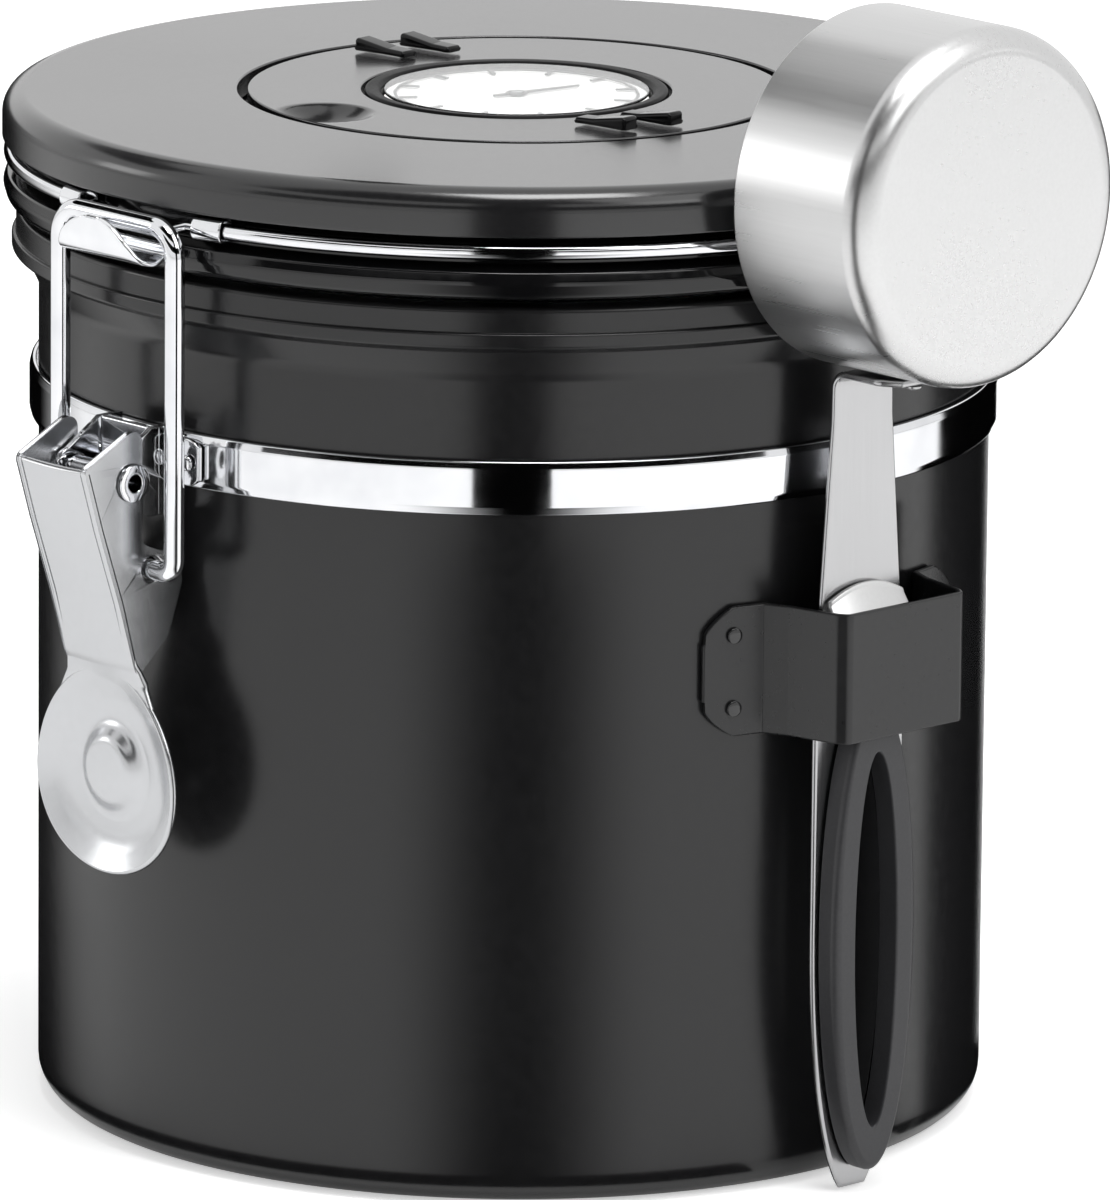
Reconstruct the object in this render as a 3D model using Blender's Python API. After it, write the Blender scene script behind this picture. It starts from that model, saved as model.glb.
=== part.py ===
"""Food canister with a latched, hinged lid, a date dial and a measuring scoop clipped to its side."""
import bpy
import bmesh
from math import atan2, cos, pi, radians, sin, sqrt
from mathutils import Vector

# Sizes shared by the whole object, in metres; each part's sizes follow from its neighbour's
FIT_GAP = 0.0003
CUT_OVERRUN = 0.002
ROUND_STEPS = 48
DIAL_STEPS = 32
CUP_STEPS = 32
SMALL_STEPS = 16
CORNER_STEPS = 3
DEGREE = pi / 180

# Canister body
BODY_RADIUS = 0.060
BODY_WALL = 0.0010
BODY_CORNER = 0.0043
BASE_THICKNESS = 0.0012
NECK_TOP = 0.1050
SHOULDER_RISE = 0.0047
SHOULDER_SHARES = ((0.26, 0.32), (0.55, 0.70), (0.84, 1.0))
RIM_OUTSET = 0.0034
RIM_HEIGHT = 0.0044
RIM_EDGE = 0.0008
RIM_RADIUS = BODY_RADIUS + RIM_OUTSET
RIM_BEAD_LOW = NECK_TOP + SHOULDER_RISE
RIM_TOP = RIM_BEAD_LOW + RIM_HEIGHT
MOUTH_INSET = 0.0014
MOUTH_RADIUS = BODY_RADIUS - MOUTH_INSET
MOUTH_DEPTH = 0.0090

# Band clamped round the body
BAND_THICKNESS = 0.00086
BAND_HEIGHT = 0.00676
BAND_EDGE = 0.0003
BAND_DROP = 0.0172
BAND_LOW = NECK_TOP - BAND_DROP
BAND_TOP = BAND_LOW + BAND_HEIGHT
BAND_RADIUS = BODY_RADIUS + FIT_GAP + BAND_THICKNESS

# Inner base of the lid: skirt bead, wire groove, deck, plug and gasket
LID_OVERHANG = 0.0012
LID_RADIUS = RIM_RADIUS + LID_OVERHANG
SKIRT_INSET = 0.0001
SKIRT_RADIUS = LID_RADIUS - SKIRT_INSET
SKIRT_LIFT = 0.0006
SKIRT_BELLY = 0.0027
SKIRT_CROWN = 0.0013
SKIRT_LOW = RIM_TOP + SKIRT_LIFT
SKIRT_WIDEST = SKIRT_LOW + SKIRT_BELLY
SKIRT_TOP = SKIRT_WIDEST + SKIRT_CROWN
SKIRT_SHARES = ((0.62, 0.14), (0.88, 0.40))
SKIRT_TOP_SHARE = 0.87
WIRE_GROOVE_DEPTH = 0.0031
WIRE_GROOVE_RISE = 0.0006
WIRE_GROOVE_RADIUS = SKIRT_RADIUS - WIRE_GROOVE_DEPTH
WIRE_GROOVE_LOW = SKIRT_TOP + WIRE_GROOVE_RISE
PLUG_CLEARANCE = 0.0011
PLUG_RADIUS = MOUTH_RADIUS - PLUG_CLEARANCE
PLUG_WALL = 0.0030
PLUG_DEPTH = 0.0037
PLUG_LOW = RIM_TOP - PLUG_DEPTH
GASKET_SEAT = 0.0004
GASKET_LOW = PLUG_LOW + GASKET_SEAT
GASKET_HEIGHT = 0.0028
GASKET_THICKNESS = 0.0014
GASKET_LIP = 0.0005
GASKET_LIP_SHARE = 0.4

# Wire ring of the lid and its ferrules
RING_WIRE_RADIUS = 0.0010
RING_WIRE_CLEARANCE = 0.0009
RING_WIRE_INSET = 0.0012
RING_WIRE_CENTRE = LID_RADIUS - RING_WIRE_INSET
RING_WIRE_Z = WIRE_GROOVE_LOW + RING_WIRE_CLEARANCE + RING_WIRE_RADIUS
RING_GAP_REACH = 0.0124
RING_GAP_ANGLE = RING_GAP_REACH / RING_WIRE_CENTRE
FERRULE_WALL = 0.0003
FERRULE_RADIUS = RING_WIRE_RADIUS + FIT_GAP + FERRULE_WALL
FERRULE_LENGTH = 0.0044

# Lid shell
LID_EDGE_HEIGHT = 0.0059
LID_ROUND = 0.0045
LID_WALL = 0.0010
LID_LOW = RING_WIRE_Z + RING_WIRE_RADIUS + RING_WIRE_CLEARANCE
LID_TOP = LID_LOW + LID_EDGE_HEIGHT
DECK_DROP = 0.0030
DECK_TOP = LID_TOP - DECK_DROP
DECK_THICKNESS = 0.0012

# Dial in the middle of the lid, standing on the deck
BEZEL_BORE = 0.0170
BEZEL_RING = 0.0021
BEZEL_SKIRT_WALL = 0.0005
BEZEL_LEDGE_WIDTH = 0.0005
BEZEL_RADIUS = BEZEL_BORE + BEZEL_RING
BEZEL_SKIRT = BEZEL_BORE + BEZEL_SKIRT_WALL
BEZEL_LEDGE = BEZEL_BORE - BEZEL_LEDGE_WIDTH
BEZEL_RISE = 0.0002
BEZEL_TOP = LID_TOP + BEZEL_RISE
BEZEL_FLANGE = 0.0014
BEZEL_LEDGE_HEIGHT = 0.0006
BEZEL_EDGE = 0.0003
FACE_THICKNESS = 0.0006
PRINT_GAP = 0.0002
TICK_COUNT = 12
TICK_MARGIN = 0.0015
TICK_RING_WIDTH = 0.0003
TICK_LENGTH = 0.0024
TICK_WIDTH = 0.0006
TICK_HEIGHT = 0.0002
TICK_RING = BEZEL_BORE - TICK_MARGIN
TICK_OUTER = TICK_RING - TICK_RING_WIDTH
TICK_INNER = TICK_OUTER - TICK_LENGTH
HAND_LENGTH = 0.0095
HAND_TAIL = 0.0035
HAND_WIDTH = 0.0008
HAND_HUB = 0.0018
HAND_THICKNESS = 0.0003
HAND_ANGLE = 81 * DEGREE
SPINDLE_RADIUS = 0.0007
LENS_THICKNESS = 0.0004

# Date ring that turns round the dial, with a finger dimple and two pairs of grip bars
DATE_RING_BORE = BEZEL_SKIRT + FIT_GAP
BEZEL_GAP = 0.0004
DATE_RING_STEP = BEZEL_RADIUS + BEZEL_GAP
DATE_RING_LIP = 0.0009
DATE_RING_EDGE = 0.0003
GRIP_BAR_OUTSET = 0.0075
GRIP_BAR_CENTRE = DATE_RING_STEP + GRIP_BAR_OUTSET
GRIP_BAR_LENGTH = 0.0080
GRIP_BAR_WIDTH = 0.0027
GRIP_BAR_HEIGHT = 0.0017
GRIP_BAR_SPACING = 0.0066
GRIP_BAR_SHARES = ((1, 1), (0.4, 0.78), (-0.3, 0.516), (-1, 0.45))
GRIP_PAIR_ANGLE = -12 * DEGREE
GRIP_BAR_SKEW = 20 * DEGREE
DATE_RING_MARGIN = 0.0070
DATE_RING_RADIUS = GRIP_BAR_CENTRE + DATE_RING_MARGIN
DIMPLE_INSET = 0.0050
DIMPLE_CENTRE = DATE_RING_RADIUS - DIMPLE_INSET
DIMPLE_ANGLE = -98 * DEGREE
DIMPLE_RADIUS = 0.0060
DIMPLE_DEPTH = 0.0016
DATE_RING_GAP = 0.0011
DATE_CUTOUT_RADIUS = DATE_RING_RADIUS + DATE_RING_GAP
CUTOUT_CHAMFER = 0.0004

# One-way valve in the middle of the lid's deck
VALVE_RADIUS = 0.0080
VALVE_FLANGE_OUTSET = 0.0025
VALVE_FLANGE = VALVE_RADIUS + VALVE_FLANGE_OUTSET
VALVE_FLANGE_THICKNESS = 0.0012
VALVE_DEPTH = 0.0055
VALVE_LOW = DECK_TOP - VALVE_DEPTH
VALVE_FLOOR = 0.0012
VALVE_WALL = 0.0016
VALVE_CHAMBER = VALVE_RADIUS - VALVE_WALL
VALVE_PORT = 0.0026
FLAP_CLEARANCE = 0.0014
FLAP_RADIUS = VALVE_CHAMBER - FLAP_CLEARANCE
FLAP_THICKNESS = 0.0008
CAP_THICKNESS = 0.0010
CAP_PORT = 0.0022

# Catch on the wire ring: a thin wire and the curled hook that the bail pulls on
LEVER_HALF_WIDTH = 0.0065
CATCH_OVERLAP = 0.0019
CATCH_WIRE_RADIUS = 0.0006
CATCH_HALF_WIDTH = LEVER_HALF_WIDTH + CATCH_OVERLAP
CATCH_WIRE_MARGIN = 0.0001
CATCH_WIRE_BEND_X = CATCH_HALF_WIDTH + CATCH_WIRE_MARGIN
CATCH_WIRE_END_X = 0.0050
CATCH_WIRE_OUTSET = 0.0009
CATCH_WIRE_DROP = 0.0013
CATCH_WIRE_END_DISTANCE = RING_WIRE_CENTRE + CATCH_WIRE_OUTSET
CATCH_WIRE_END_Z = RING_WIRE_Z - CATCH_WIRE_DROP
CATCH_SHEET = 0.0007
CATCH_ROOT_HALF_WIDTH = 0.0067
CATCH_TIP_HALF_WIDTH = 0.0050
CATCH_ROOT_OUTSET = 0.00125
CATCH_ROOT_DROP = 0.0007
CATCH_TROUGH_OUTSET = 0.00195
CATCH_TROUGH_DROP = 0.0024
CATCH_LIP_OUTSET = 0.0033
CATCH_LIP_RISE = 0.0055
CATCH_ROOT_DISTANCE = CATCH_WIRE_END_DISTANCE + CATCH_ROOT_OUTSET
CATCH_ROOT_Z = CATCH_WIRE_END_Z - CATCH_ROOT_DROP
CATCH_TROUGH_DISTANCE = CATCH_ROOT_DISTANCE + CATCH_TROUGH_OUTSET
CATCH_TROUGH_Z = CATCH_ROOT_Z - CATCH_TROUGH_DROP
CATCH_LIP_DISTANCE = CATCH_TROUGH_DISTANCE + CATCH_LIP_OUTSET
CATCH_LIP_Z = CATCH_TROUGH_Z + CATCH_LIP_RISE
CATCH_FALL_SHARES = (0.25, 0.65)
CATCH_RISE_SHARES = ((0.65, 0.12, 0), (0.92, 0.45, 0.3), (1, 1, 1))

# Latch pivot, and the lever that turns on it: distances are out from the canister's axis
PIVOT_OUTSET = 0.0053
PIVOT_RISE = 0.0018
PIVOT_DISTANCE = LID_RADIUS + PIVOT_OUTSET
PIVOT_Z = BAND_LOW + PIVOT_RISE
PIVOT_PIN_RADIUS = 0.0018
PIVOT_PIN_WALL = 0.0007
PIN_HEAD_OVERHANG = 0.0006
PIN_HEAD_THICKNESS = 0.0003
LEVER_SHEET = 0.0010
WEB_TOP_OUTSET = 0.0080
WEB_TOP_RISE = 0.0024
WEB_FOOT_INSET = 0.0001
WEB_FOOT_DROP = 0.0241
WEB_TOP_DISTANCE = PIVOT_DISTANCE + WEB_TOP_OUTSET
WEB_TOP_Z = PIVOT_Z + WEB_TOP_RISE
WEB_FOOT_DISTANCE = PIVOT_DISTANCE - WEB_FOOT_INSET
WEB_FOOT_Z = PIVOT_Z - WEB_FOOT_DROP
WEB_SHARES = ((0.706, 0.703), (0.30, 0.34))
CHEEK_BACK_INSET = 0.0013
CHEEK_TOP_RISE = 0.0068
CHEEK_BACK_DISTANCE = PIVOT_DISTANCE - CHEEK_BACK_INSET
CHEEK_TOP_Z = PIVOT_Z + CHEEK_TOP_RISE
CHEEK_FOOT_SHARES = (0.30, 0.62)
SPOON_HALF_WIDTH = 0.01275
SPOON_HALF_HEIGHT = 0.0132
SPOON_DROP = 0.0135
SPOON_INSET = 0.0020
SPOON_Z = WEB_FOOT_Z - SPOON_DROP
SPOON_DISTANCE = WEB_FOOT_DISTANCE - SPOON_INSET
SPOON_DISH = 0.0012
SPOON_RAISE = 0.0010
SPOON_TAPER_SHARE = 0.10
SPOON_NECK_SHARES = (0.72, 0.60)
SPOON_BOWL_SHARES = (0.88, 0.52, 0.42)

# Bail: the wire loop between the lever and the catch
BAIL_WIRE_RADIUS = 0.00125
BAIL_JOINT_INSET = 0.0032
BAIL_JOINT_DROP = 0.0113
BAIL_JOINT_DISTANCE = PIVOT_DISTANCE - BAIL_JOINT_INSET
BAIL_JOINT_Z = PIVOT_Z - BAIL_JOINT_DROP
BAIL_SIDE_REACH = 0.0041
BAIL_HALF_SPAN = LEVER_HALF_WIDTH + BAIL_SIDE_REACH
BAIL_BAR_LIFT = 0.0002
BAIL_BAR_Z = RING_WIRE_Z + BAIL_BAR_LIFT
BAIL_BEND = 0.0037
EYE_START = 200 * DEGREE
EYE_END = 70 * DEGREE
LOBE_INSET = 0.0049
LOBE_DROP = 0.0017
LOBE_DISTANCE = BAIL_JOINT_DISTANCE - LOBE_INSET
LOBE_Z = BAIL_JOINT_Z - LOBE_DROP

# Sheet bracket that carries the latch pivot, with flanges riveted to the band
BRACKET_SHEET = 0.0008
BRACKET_HALF_WIDTH = LEVER_HALF_WIDTH - LEVER_SHEET - FIT_GAP
BRACKET_FRONT_INSET = 0.0043
BRACKET_LOW_DROP = 0.0051
BRACKET_TOP_RISE = 0.0061
BRACKET_FRONT_DISTANCE = PIVOT_DISTANCE - BRACKET_FRONT_INSET
BRACKET_LOW = PIVOT_Z - BRACKET_LOW_DROP
BRACKET_TOP = PIVOT_Z + BRACKET_TOP_RISE
BRACKET_BOSS_WALL = 0.0008
BRACKET_BOSS = PIVOT_PIN_RADIUS + FIT_GAP + BRACKET_BOSS_WALL
BOSS_ANGLE = 75 * DEGREE
FLANGE_REACH = 0.0092
FLANGE_RIVET_REACH = 0.0075
FLANGE_MARGIN = 0.0004
RIVET_RADIUS = 0.0010
RIVET_HEIGHT = 0.0005

# Rear hinge
HINGE_OUTSET = 0.0044
HINGE_RISE = 0.0019
HINGE_DISTANCE = LID_RADIUS + HINGE_OUTSET
HINGE_Z = RIM_TOP + HINGE_RISE
HINGE_PIN_RADIUS = 0.0012
KNUCKLE_WALL = 0.0011
KNUCKLE_RADIUS = HINGE_PIN_RADIUS + FIT_GAP + KNUCKLE_WALL
HINGE_HALF_WIDTH = 0.0080
HINGE_RIVET_INSET = 0.0032
LEAF_KNUCKLE_HALF_WIDTH = 0.0030
HINGE_SHEET = 0.0010
HINGE_FOOT_MARGIN = 0.0038
HINGE_BRACKET_LOW = BAND_LOW - HINGE_FOOT_MARGIN
HINGE_JOG_MARGIN = 0.00144
HINGE_JOG_HEIGHT = 0.0060
HINGE_JOG_LOW = BAND_TOP + HINGE_JOG_MARGIN
HINGE_JOG_HIGH = HINGE_JOG_LOW + HINGE_JOG_HEIGHT
LEAF_RISE = 0.0019
LEAF_LOW = SKIRT_LOW + LEAF_RISE
LEAF_HEIGHT = 0.0074
LEAF_TOP = LEAF_LOW + LEAF_HEIGHT
LEAF_STRAP_RISE = 0.0046
LEAF_STRAP_Z = LEAF_LOW + LEAF_STRAP_RISE
LEAF_STRAP_SHARES = (0.4, 0.3, 0.8)

# Scoop: cup, handle strip and grip, beside the lid
SCOOP_OFFSET = -0.0026
CUP_RADIUS = 0.0223
CUP_DEPTH = 0.0222
CUP_WALL = 0.0009
CUP_EDGE = 0.0034
CUP_DROP = 0.0017
CUP_Z = LID_TOP - CUP_DROP
GRIP_HALF_WIDTH = 0.0070
GRIP_THICKNESS = 0.0032
GRIP_EDGE = 0.0009
GRIP_MARGIN = 0.0026
STRIP_THICKNESS = 0.0009
STRIP_BORDER = 0.0006
STRIP_HALF_WIDTH = GRIP_HALF_WIDTH + STRIP_BORDER
STRIP_SHOULDER_HALF_WIDTH = 0.0067
STRIP_NECK_HALF_WIDTH = 0.0050
STRIP_LOW = 0.0004
STRIP_TIP_ANGLE = 14 * DEGREE
TAB_LENGTH = 0.0105
TAB_BEND = 0.0016
TAB_TAPER_SHARES = (0.85, 0.7)
TAB_RIVET_PLACE_SHARES = (0.52, 0.86)
FERRULE_PLATE_THICKNESS = 0.0007
FERRULE_PLATE_ARCH = 0.0020

# Scoop bracket on the side of the body, a tunnel that the grip hangs in
SCOOP_BRACKET_DROP = 0.0208
SCOOP_BRACKET_Z = BAND_LOW - SCOOP_BRACKET_DROP
SCOOP_BRACKET_HALF_HEIGHT = 0.0082
TUNNEL_DEPTH_CLEARANCE = 0.0011
SCOOP_BRACKET_HALF_WIDTH = abs(SCOOP_OFFSET) + GRIP_HALF_WIDTH + FIT_GAP + BRACKET_SHEET
TUNNEL_WALL_SPREAD = 0.0014
WALL_FOOT_SPREAD = 0.0025
SCOOP_STRAIGHT_SPREAD = 0.0043
SCOOP_FLANGE_SPREAD = 0.0041
SCOOP_FLANGE_END_SHARE = 0.45
SCOOP_FLANGE_SHARES = (0, 0.35, 0.7, 1)
TUNNEL_WALL_SHARES = (0.20, 0.88)
SCOOP_WELD_RISE = 0.0046

# Heights along the scoop's handle, set out from the bracket that holds it
GRIP_LOW = STRIP_LOW + GRIP_MARGIN
GRIP_INSET = 0.0040
GRIP_TOP = SCOOP_BRACKET_Z - GRIP_INSET
FERRULE_PLATE_RISE = 0.0090
FERRULE_PLATE_TOP = SCOOP_BRACKET_Z + FERRULE_PLATE_RISE
STRIP_SHOULDER_RISE = 0.0100
STRIP_SHOULDER_Z = SCOOP_BRACKET_Z + STRIP_SHOULDER_RISE
SLOT_HALF_WIDTH = 0.0035
SLOT_LOW_MARGIN = 0.0057
SLOT_TOP_MARGIN = 0.0066
SLOT_LOW = GRIP_LOW + SLOT_LOW_MARGIN
SLOT_TOP = GRIP_TOP - SLOT_TOP_MARGIN

# Directions in plan: each side of the object looks out along one of these
FRONT = Vector((0, -1, 0))
REAR = Vector((0, 1, 0))
RIGHT = Vector((1, 0, 0))
UP = Vector((0, 0, 1))
SIDES = (("left", -1), ("right", 1))

STEEL = ((0.78, 0.78, 0.79), 0.28, 1.0)
CHROME = ((0.88, 0.88, 0.89), 0.10, 1.0)
BLACK_PAINT = ((0.030, 0.030, 0.033), 0.42, 0.0)
BLACK_PLASTIC = ((0.015, 0.015, 0.017), 0.35, 0.0)
CHARCOAL_PAINT = ((0.045, 0.045, 0.047), 0.30, 0.0)
WHITE_PRINT = ((0.86, 0.86, 0.85), 0.50, 0.0)
SILICONE = ((0.72, 0.72, 0.70), 0.60, 0.0)
CLEAR = ((0.95, 0.97, 0.98), 0.05, 0.0)


def make_material(name, look):
    colour, roughness, metallic = look
    material = bpy.data.materials.new(name)
    material.use_nodes = True
    shader = material.node_tree.nodes["Principled BSDF"]
    shader.inputs["Base Color"].default_value = (*colour, 1)
    shader.inputs["Roughness"].default_value = roughness
    shader.inputs["Metallic"].default_value = metallic
    return material


def add_object(name, points, faces, look, parent=None):
    """Make one closed mesh from world points; a parent's place is taken off, so the piece stays put."""
    place = parent.location if parent else Vector()
    mesh = bpy.data.meshes.new(name)
    mesh.from_pydata([Vector(p) - place for p in points], [], faces)
    work = bmesh.new()
    work.from_mesh(mesh)
    bmesh.ops.recalc_face_normals(work, faces=work.faces)
    work.to_mesh(mesh)
    work.free()
    mesh.shade_smooth()
    mesh.set_sharp_from_angle(angle=radians(35))
    piece = bpy.data.objects.new(name, mesh)
    bpy.context.scene.collection.objects.link(piece)
    piece.parent = parent
    if look:
        mesh.materials.append(make_material(name, look))
    return piece


def add_axis(name, place):
    """An empty on a joint's axis, the parent of every piece that the joint moves."""
    empty = bpy.data.objects.new(name, None)
    empty.location = place
    empty.empty_display_size = BODY_CORNER
    bpy.context.scene.collection.objects.link(empty)
    return empty


def combine(piece, others, operation="UNION"):
    """Join or cut with hidden guides, which stay in the file as editable operands."""
    for other in others:
        other.hide_render = True
        other.display_type = "WIRE"
        other.hide_set(True)
        step = piece.modifiers.new(other.name, "BOOLEAN")
        step.operation = operation
        step.object = other
        step.solver = "EXACT"
    return piece


def arc_points(centre, radius, start, end, steps=CORNER_STEPS):
    return [(centre[0] + radius * cos(start + (end - start) * k / steps),
             centre[1] + radius * sin(start + (end - start) * k / steps)) for k in range(steps + 1)]


def rod_outline(radius, reach):
    """The half outline of a plain rod, for a bore's guide."""
    return [(0, -reach), (radius, -reach), (radius, reach), (0, reach)]


def blend(low, high, share):
    return low + (high - low) * share


def turned(profile, centre, axis, side, steps, start=0.0, sweep=2 * pi):
    """Points and faces of a closed (radius, height) outline turned about an axis; a part turn gets caps."""
    across = axis.cross(side)
    whole = abs(sweep - 2 * pi) < DEGREE
    turns = steps if whole else steps + 1
    rings, points = [], []
    for radius, height in profile:
        ring = []
        for k in range(turns):
            if radius == 0 and k > 0:
                ring.append(ring[0])
                continue
            angle = start + sweep * k / steps
            points.append(centre + axis * height + side * radius * cos(angle) + across * radius * sin(angle))
            ring.append(len(points) - 1)
        rings.append(ring)
    faces = []
    for i, ring in enumerate(rings):
        after = rings[(i + 1) % len(rings)]
        for k in range(steps):
            m = (k + 1) % turns
            corners = list(dict.fromkeys([ring[k], ring[m], after[m], after[k]]))
            if len(corners) > 2:
                faces.append(corners)
    if not whole:
        faces.append([ring[0] for ring in rings])
        faces.append([ring[-1] for ring in reversed(rings)])
    return points, faces


def lathe(name, profile, look, parent=None, centre=Vector(), axis=UP, side=RIGHT, steps=ROUND_STEPS):
    return add_object(name, *turned(profile, centre, axis, side, steps), look, parent)


def arc_plate(name, inner, thickness, low, high, middle, half_angle, look, parent=None, steps=6):
    """A plate rolled round the canister's axis; middle is the direction that it looks out along."""
    profile = [(inner, low), (inner + thickness, low), (inner + thickness, high), (inner, high)]
    shape = turned(profile, Vector(), UP, middle, steps, -half_angle, 2 * half_angle)
    return add_object(name, *shape, look, parent)


def plate(name, outline, out, low, high, look, parent=None, along=UP):
    """A flat outline of (distance along out, distance along 'along') spread from low to high sideways."""
    across = along.cross(out)
    count = len(outline)
    points = [out * u + along * v + across * w for w in (low, high) for u, v in outline]
    faces = [list(range(count)), list(range(count, 2 * count))]
    faces += [[k, (k + 1) % count, (k + 1) % count + count, k + count] for k in range(count)]
    return add_object(name, points, faces, look, parent)


def ribbon(name, path, half_widths, thickness, out, along, look, parent=None, shift=0.0):
    """A bent strip: path is its middle line in the out-along plane, half_widths its reach to each side."""
    across = along.cross(out)
    points, faces = [], []
    last = len(path) - 1
    for k, (u, v) in enumerate(path):
        before, after = path[max(k - 1, 0)], path[min(k + 1, last)]
        du, dv = after[0] - before[0], after[1] - before[1]
        reach = sqrt(du * du + dv * dv)
        normal = (-dv / reach * thickness / 2, du / reach * thickness / 2)
        for sign, w in ((1, -1), (1, 1), (-1, 1), (-1, -1)):
            corner = out * (u + sign * normal[0]) + along * (v + sign * normal[1])
            points.append(corner + across * (shift + w * half_widths[k]))
    for k in range(last):
        for c in range(4):
            d = (c + 1) % 4
            faces.append([4 * k + c, 4 * k + d, 4 * k + 4 + d, 4 * k + 4 + c])
    faces += [[0, 1, 2, 3], [4 * last + c for c in (3, 2, 1, 0)]]
    return add_object(name, points, faces, look, parent)


def wire(name, path, radius, look, parent=None, sides=8):
    """A round wire along 3-D points, with flat ends; its section is carried along without twist."""
    path = [Vector(p) for p in path]
    last = len(path) - 1
    points, faces, side = [], [], None
    for k, place in enumerate(path):
        heading = (path[min(k + 1, last)] - path[max(k - 1, 0)]).normalized()
        if side is None:
            side = heading.orthogonal().normalized()
        side = (side - heading * side.dot(heading)).normalized()
        across = heading.cross(side)
        for s in range(sides):
            angle = 2 * pi * s / sides
            points.append(place + side * radius * cos(angle) + across * radius * sin(angle))
    for k in range(last):
        for s in range(sides):
            t = (s + 1) % sides
            faces.append([k * sides + s, k * sides + t, (k + 1) * sides + t, (k + 1) * sides + s])
    faces += [list(range(sides)), [last * sides + s for s in range(sides)]]
    return add_object(name, points, faces, look, parent)


def ring_faces(loops, count):
    """Faces that join loops of as many points each, in turn, into one closed ring."""
    faces = []
    for a in range(loops):
        b = (a + 1) % loops
        for k in range(count):
            m = (k + 1) % count
            faces.append([a * count + k, a * count + m, b * count + m, b * count + k])
    return faces


def rivet(name, centre, axis, look, parent=None, height=None):
    """A low round head standing on a face; axis is the way the head points."""
    height = height or RIVET_HEIGHT
    side = axis.orthogonal().normalized()
    profile = [(0, 0), (RIVET_RADIUS, 0), (RIVET_RADIUS * cos(pi / 6), height / 2)]
    profile += [(RIVET_RADIUS / 2, height), (0, height)]
    return lathe(name, profile, look, parent, centre, axis, side, SMALL_STEPS // 2)


def front_angle(angle):
    """A direction in plan, counted from the front towards the right."""
    return Vector((sin(angle), -cos(angle), 0))


def on_side(out, rho, z, sideways=0.0):
    return out * rho + UP * z + UP.cross(out) * sideways


def clear_scene():
    for item in list(bpy.data.objects):
        bpy.data.objects.remove(item)


def build_body():
    rise, spread = RIM_BEAD_LOW - NECK_TOP, RIM_RADIUS - BODY_RADIUS
    outer = [(0, 0)]
    outer += arc_points((BODY_RADIUS - BODY_CORNER, BODY_CORNER), BODY_CORNER, -pi / 2, 0)
    outer += [(BODY_RADIUS, NECK_TOP)]
    outer += [(BODY_RADIUS + spread * r, NECK_TOP + rise * z) for r, z in SHOULDER_SHARES]
    outer += [(RIM_RADIUS, (RIM_BEAD_LOW + RIM_TOP) / 2), (RIM_RADIUS, RIM_TOP - RIM_EDGE)]
    outer += [(RIM_RADIUS - RIM_EDGE, RIM_TOP), (MOUTH_RADIUS, RIM_TOP)]
    inside = BODY_RADIUS - BODY_WALL
    inner_corner = BODY_CORNER - BODY_WALL
    inner = [(MOUTH_RADIUS, RIM_TOP - MOUTH_DEPTH), (inside, RIM_TOP - MOUTH_DEPTH - BODY_WALL)]
    inner += arc_points((inside - inner_corner, BASE_THICKNESS + inner_corner), inner_corner, 0, -pi / 2)
    lathe("canister_body", outer + inner + [(0, BASE_THICKNESS)], BLACK_PAINT)


def build_band():
    inner = BODY_RADIUS + FIT_GAP
    profile = [(inner, BAND_LOW), (BAND_RADIUS - BAND_EDGE, BAND_LOW), (BAND_RADIUS, BAND_LOW + BAND_EDGE)]
    profile += [(BAND_RADIUS, BAND_TOP - BAND_EDGE), (BAND_RADIUS - BAND_EDGE, BAND_TOP), (inner, BAND_TOP)]
    lathe("body_band", profile, CHROME)


def build_latch_bracket():
    seat = BAND_RADIUS + FIT_GAP
    back = arc_plate("latch_bracket", seat, BRACKET_SHEET, BRACKET_LOW, BRACKET_TOP, FRONT,
                     BRACKET_HALF_WIDTH / seat, CHROME)
    flange_low = BAND_LOW + FLANGE_MARGIN
    flange_top = BAND_TOP - FLANGE_MARGIN
    flange = arc_plate("latch_flange_guide", seat, BRACKET_SHEET, flange_low, flange_top, FRONT,
                       FLANGE_REACH / seat, None)
    front_back = BRACKET_FRONT_DISTANCE - BRACKET_SHEET
    front_outline = [(front_back, BRACKET_LOW), (BRACKET_FRONT_DISTANCE, BRACKET_LOW),
                     (BRACKET_FRONT_DISTANCE, BRACKET_TOP), (front_back, BRACKET_TOP)]
    front = plate("latch_front_guide", front_outline, FRONT, -BRACKET_HALF_WIDTH, BRACKET_HALF_WIDTH, None)
    root = seat + BRACKET_SHEET / 2
    ear = [(root, BRACKET_LOW), (BRACKET_FRONT_DISTANCE, BRACKET_LOW)]
    ear += arc_points((PIVOT_DISTANCE, PIVOT_Z), BRACKET_BOSS, -BOSS_ANGLE, BOSS_ANGLE, SMALL_STEPS // 2)
    ear += [(BRACKET_FRONT_DISTANCE, BRACKET_TOP), (root, BRACKET_TOP)]
    inner = BRACKET_HALF_WIDTH - BRACKET_SHEET
    left = plate("latch_left_ear_guide", ear, FRONT, -BRACKET_HALF_WIDTH, -inner, None)
    right = plate("latch_right_ear_guide", ear, FRONT, inner, BRACKET_HALF_WIDTH, None)
    combine(back, [flange, front, left, right])
    reach = BRACKET_HALF_WIDTH + CUT_OVERRUN
    bore = rod_outline(PIVOT_PIN_RADIUS + FIT_GAP, reach)
    centre = on_side(FRONT, PIVOT_DISTANCE, PIVOT_Z)
    combine(back, [lathe("latch_bore_guide", bore, None, None, centre, RIGHT, UP, SMALL_STEPS)], "DIFFERENCE")
    face = seat + BRACKET_SHEET + FIT_GAP
    for side, sign in SIDES:
        out = front_angle(sign * FLANGE_RIVET_REACH / seat)
        rivet("latch_rivet_" + side, out * face + UP * (flange_low + flange_top) / 2, out, CHROME)


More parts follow.
